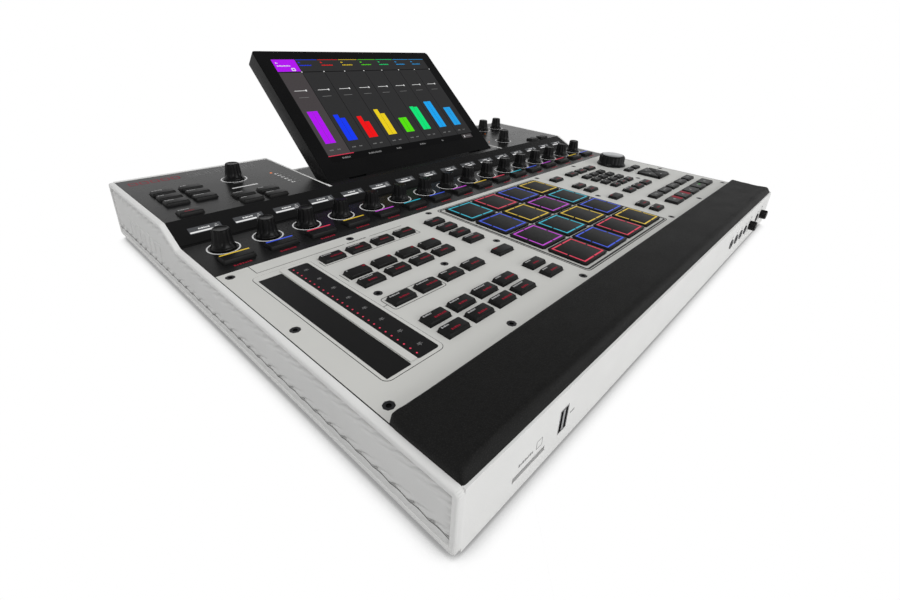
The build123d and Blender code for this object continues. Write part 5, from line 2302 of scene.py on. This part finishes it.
    def _thread(self) -> None:
        """Lay a thin dark line of painted shade in the groove of the wavy seam."""
        surface = self._face(0.0, self.foot, self.rest_depth + self.thread_under)
        seam_shade_line = MarkSheet(f"{self.node}_thread", SEAM_SHADE_GREY, surface, "case", "case_paint")
        step = self.lobe / self.thread_steps
        for index in range(int((self.high.y - self.low.y - 2 * self.rim) / step)):
            start = self.start + index * step
            rise = self._seam(start + step) - self._seam(start)
            height = (self._seam(start + step) + self._seam(start)) / 2
            middle = self.side * (start + step / 2) / MM
            turn = self.side * math.degrees(math.atan2(rise, step))
            seam_shade_line.bar(middle, height / MM, math.hypot(rise, step) / MM, self.thread_width, turn)
        seam_shade_line.done()

    def _raised_bars(self) -> None:
        """Lay a row of plain slanted bars on the rear of the panel."""
        surface = self._face(self.layout.deck_y, self.layout.panel_z / 2, self.rest_depth)
        name = f"{self.node}_raised_bars"
        bars = MarkSheet(name, CLOTH_PAINT, surface, "case", "case_paint", self.bar_rise)
        start, y = self.bar_start
        for index in range(self.bars):
            middle = self.side * (start + self.bar_pitch * index)
            bars.bar(middle, y, self.bar_width, self.bar_heights[index % 2], self.bar_lean)
        bars.done()


# ---------------- wrist rest
@dataclass
class WristRest:
    """The foam wrist rest in its leatherette, swollen a little by its filling."""

    layout: Layout
    start_drop: float = 0.2 * MM
    sunk: float = 2.0 * MM
    side_over: float = 0.9 * MM
    front_over: float = 2.15 * MM
    lean: float = 4.2 * MM
    side_in: float = 1.4 * MM
    top_round: float = 0.9 * MM
    front_corner: float = 0.6 * MM
    rear_corner: float = 2.0 * MM
    voxel: float = 1.7 * MM
    cap: float = 0.7 * MM
    frames: int = 20
    pressure: float = 4.0
    hair: float = 0.01 * MM

    def __post_init__(self) -> None:
        """Read the corners of the rest's box."""
        self.low, self.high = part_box("wrist_rest")

    def build(self) -> None:
        """Shape the rest, let it swell and mount it."""
        rest = self._blank()
        self._swell(rest)
        rest.modifier("SUBSURF", levels=1, render_levels=1)
        rest.smooth(60.0).dress(LEATHER)
        rest.mount("case", "wrist_leather", ("wrist_rest",))

    def _blank(self) -> Piece:
        """The rest before it swells: a leaning, round-edged bar.

        Returns:
            The piece.
        """
        low, high = self.low, self.high
        size = (high.x - low.x + 2 * self.side_over, high.y - low.y + self.front_over)
        middle = ((low.x + high.x) / 2, (low.y + high.y - self.front_over) / 2, low.z - self.sunk)
        rest = Piece.sheet("wrist_rest_cover", size, middle)
        rest.pick_points(lambda point: point.y > middle[1]).bevel(self.rear_corner, 5, corners=True)
        front = middle[1] - size[1] / 2 + self.hair
        rest.pick_points(lambda point: point.y < front).bevel(self.front_corner, 3, corners=True)
        rest.pick_all().rise(high.z - low.z - self.start_drop + self.sunk)
        top = high.z - self.start_drop - self.hair
        rest.pick_points(lambda point: point.z > top and point.y < middle[1])
        rest.move((0.0, self.lean, 0.0))
        for side in (-1, 1):
            rest.pick_points(lambda point: point.z > top and (point.x - middle[0]) * side > 0)
            rest.move((-side * self.side_in, 0.0, 0.0))
        rest.outward()
        rest.pick_edges(lambda a, b: min(a.z, b.z) > top)
        rest.bevel(self.top_round, 4)
        rest.modifier("REMESH", mode="VOXEL", voxel_size=self.voxel)
        rest.modifier("SMOOTH", factor=0.5, iterations=1)
        return rest

    def _swell(self, rest: Piece) -> None:
        """Let the cover swell with its underside held, and cap how far it goes.

        Args:
            rest: The blank.
        """
        low, high = self.low, self.high
        mesh = rest.obj.data
        before = [point.co.copy() for point in mesh.vertices]
        group = rest.obj.vertex_groups.new(name="glued")
        group.add([point.index for point in mesh.vertices if point.co.z < low.z], 1.0, "REPLACE")
        cloth = rest.obj.modifiers.new("Cloth", "CLOTH")
        cloth.settings.use_pressure = True
        cloth.settings.uniform_pressure_force = self.pressure
        cloth.settings.effector_weights.gravity = 0.0
        cloth.settings.vertex_group_mass = "glued"
        cloth.settings.quality = 5
        scene = bpy.context.scene
        for number in range(1, self.frames + 1):
            scene.frame_set(number)
        rest._hold()
        bpy.ops.object.modifier_apply(modifier=cloth.name)
        scene.frame_set(1)
        for point, start in zip(mesh.vertices, before):
            way = point.co - start
            if way.length > self.cap:
                point.co = start + way.normalized() * self.cap
            point.co.x = min(max(point.co.x, low.x - self.side_over), high.x + self.side_over)
            point.co.y = min(max(point.co.y, low.y - self.front_over), high.y)
            point.co.z = min(point.co.z, high.z)


def main() -> None:
    """Build every sub-assembly in turn."""
    logging.basicConfig(level=logging.INFO, format="%(message)s")
    layout = Layout.read()
    Studio().build()
    dress_node("base_pan", SHELL_PAINT)
    dress_node("control_plate", CASE_PAINT)
    dress_node("rear_deck", DECK)
    Cheek(layout, -1, "left_cheek").build()
    Cheek(layout, 1, "right_cheek").build()
    for assembly in (RubberKeys, Pads, Knobs, EncoderStrip, PanelPrints):
        assembly(layout).build()
    for assembly in (TouchStrips, DeckPrints, Screen, Hardware, WristRest):
        assembly(layout).build()


if __name__ == "__main__":
    main()
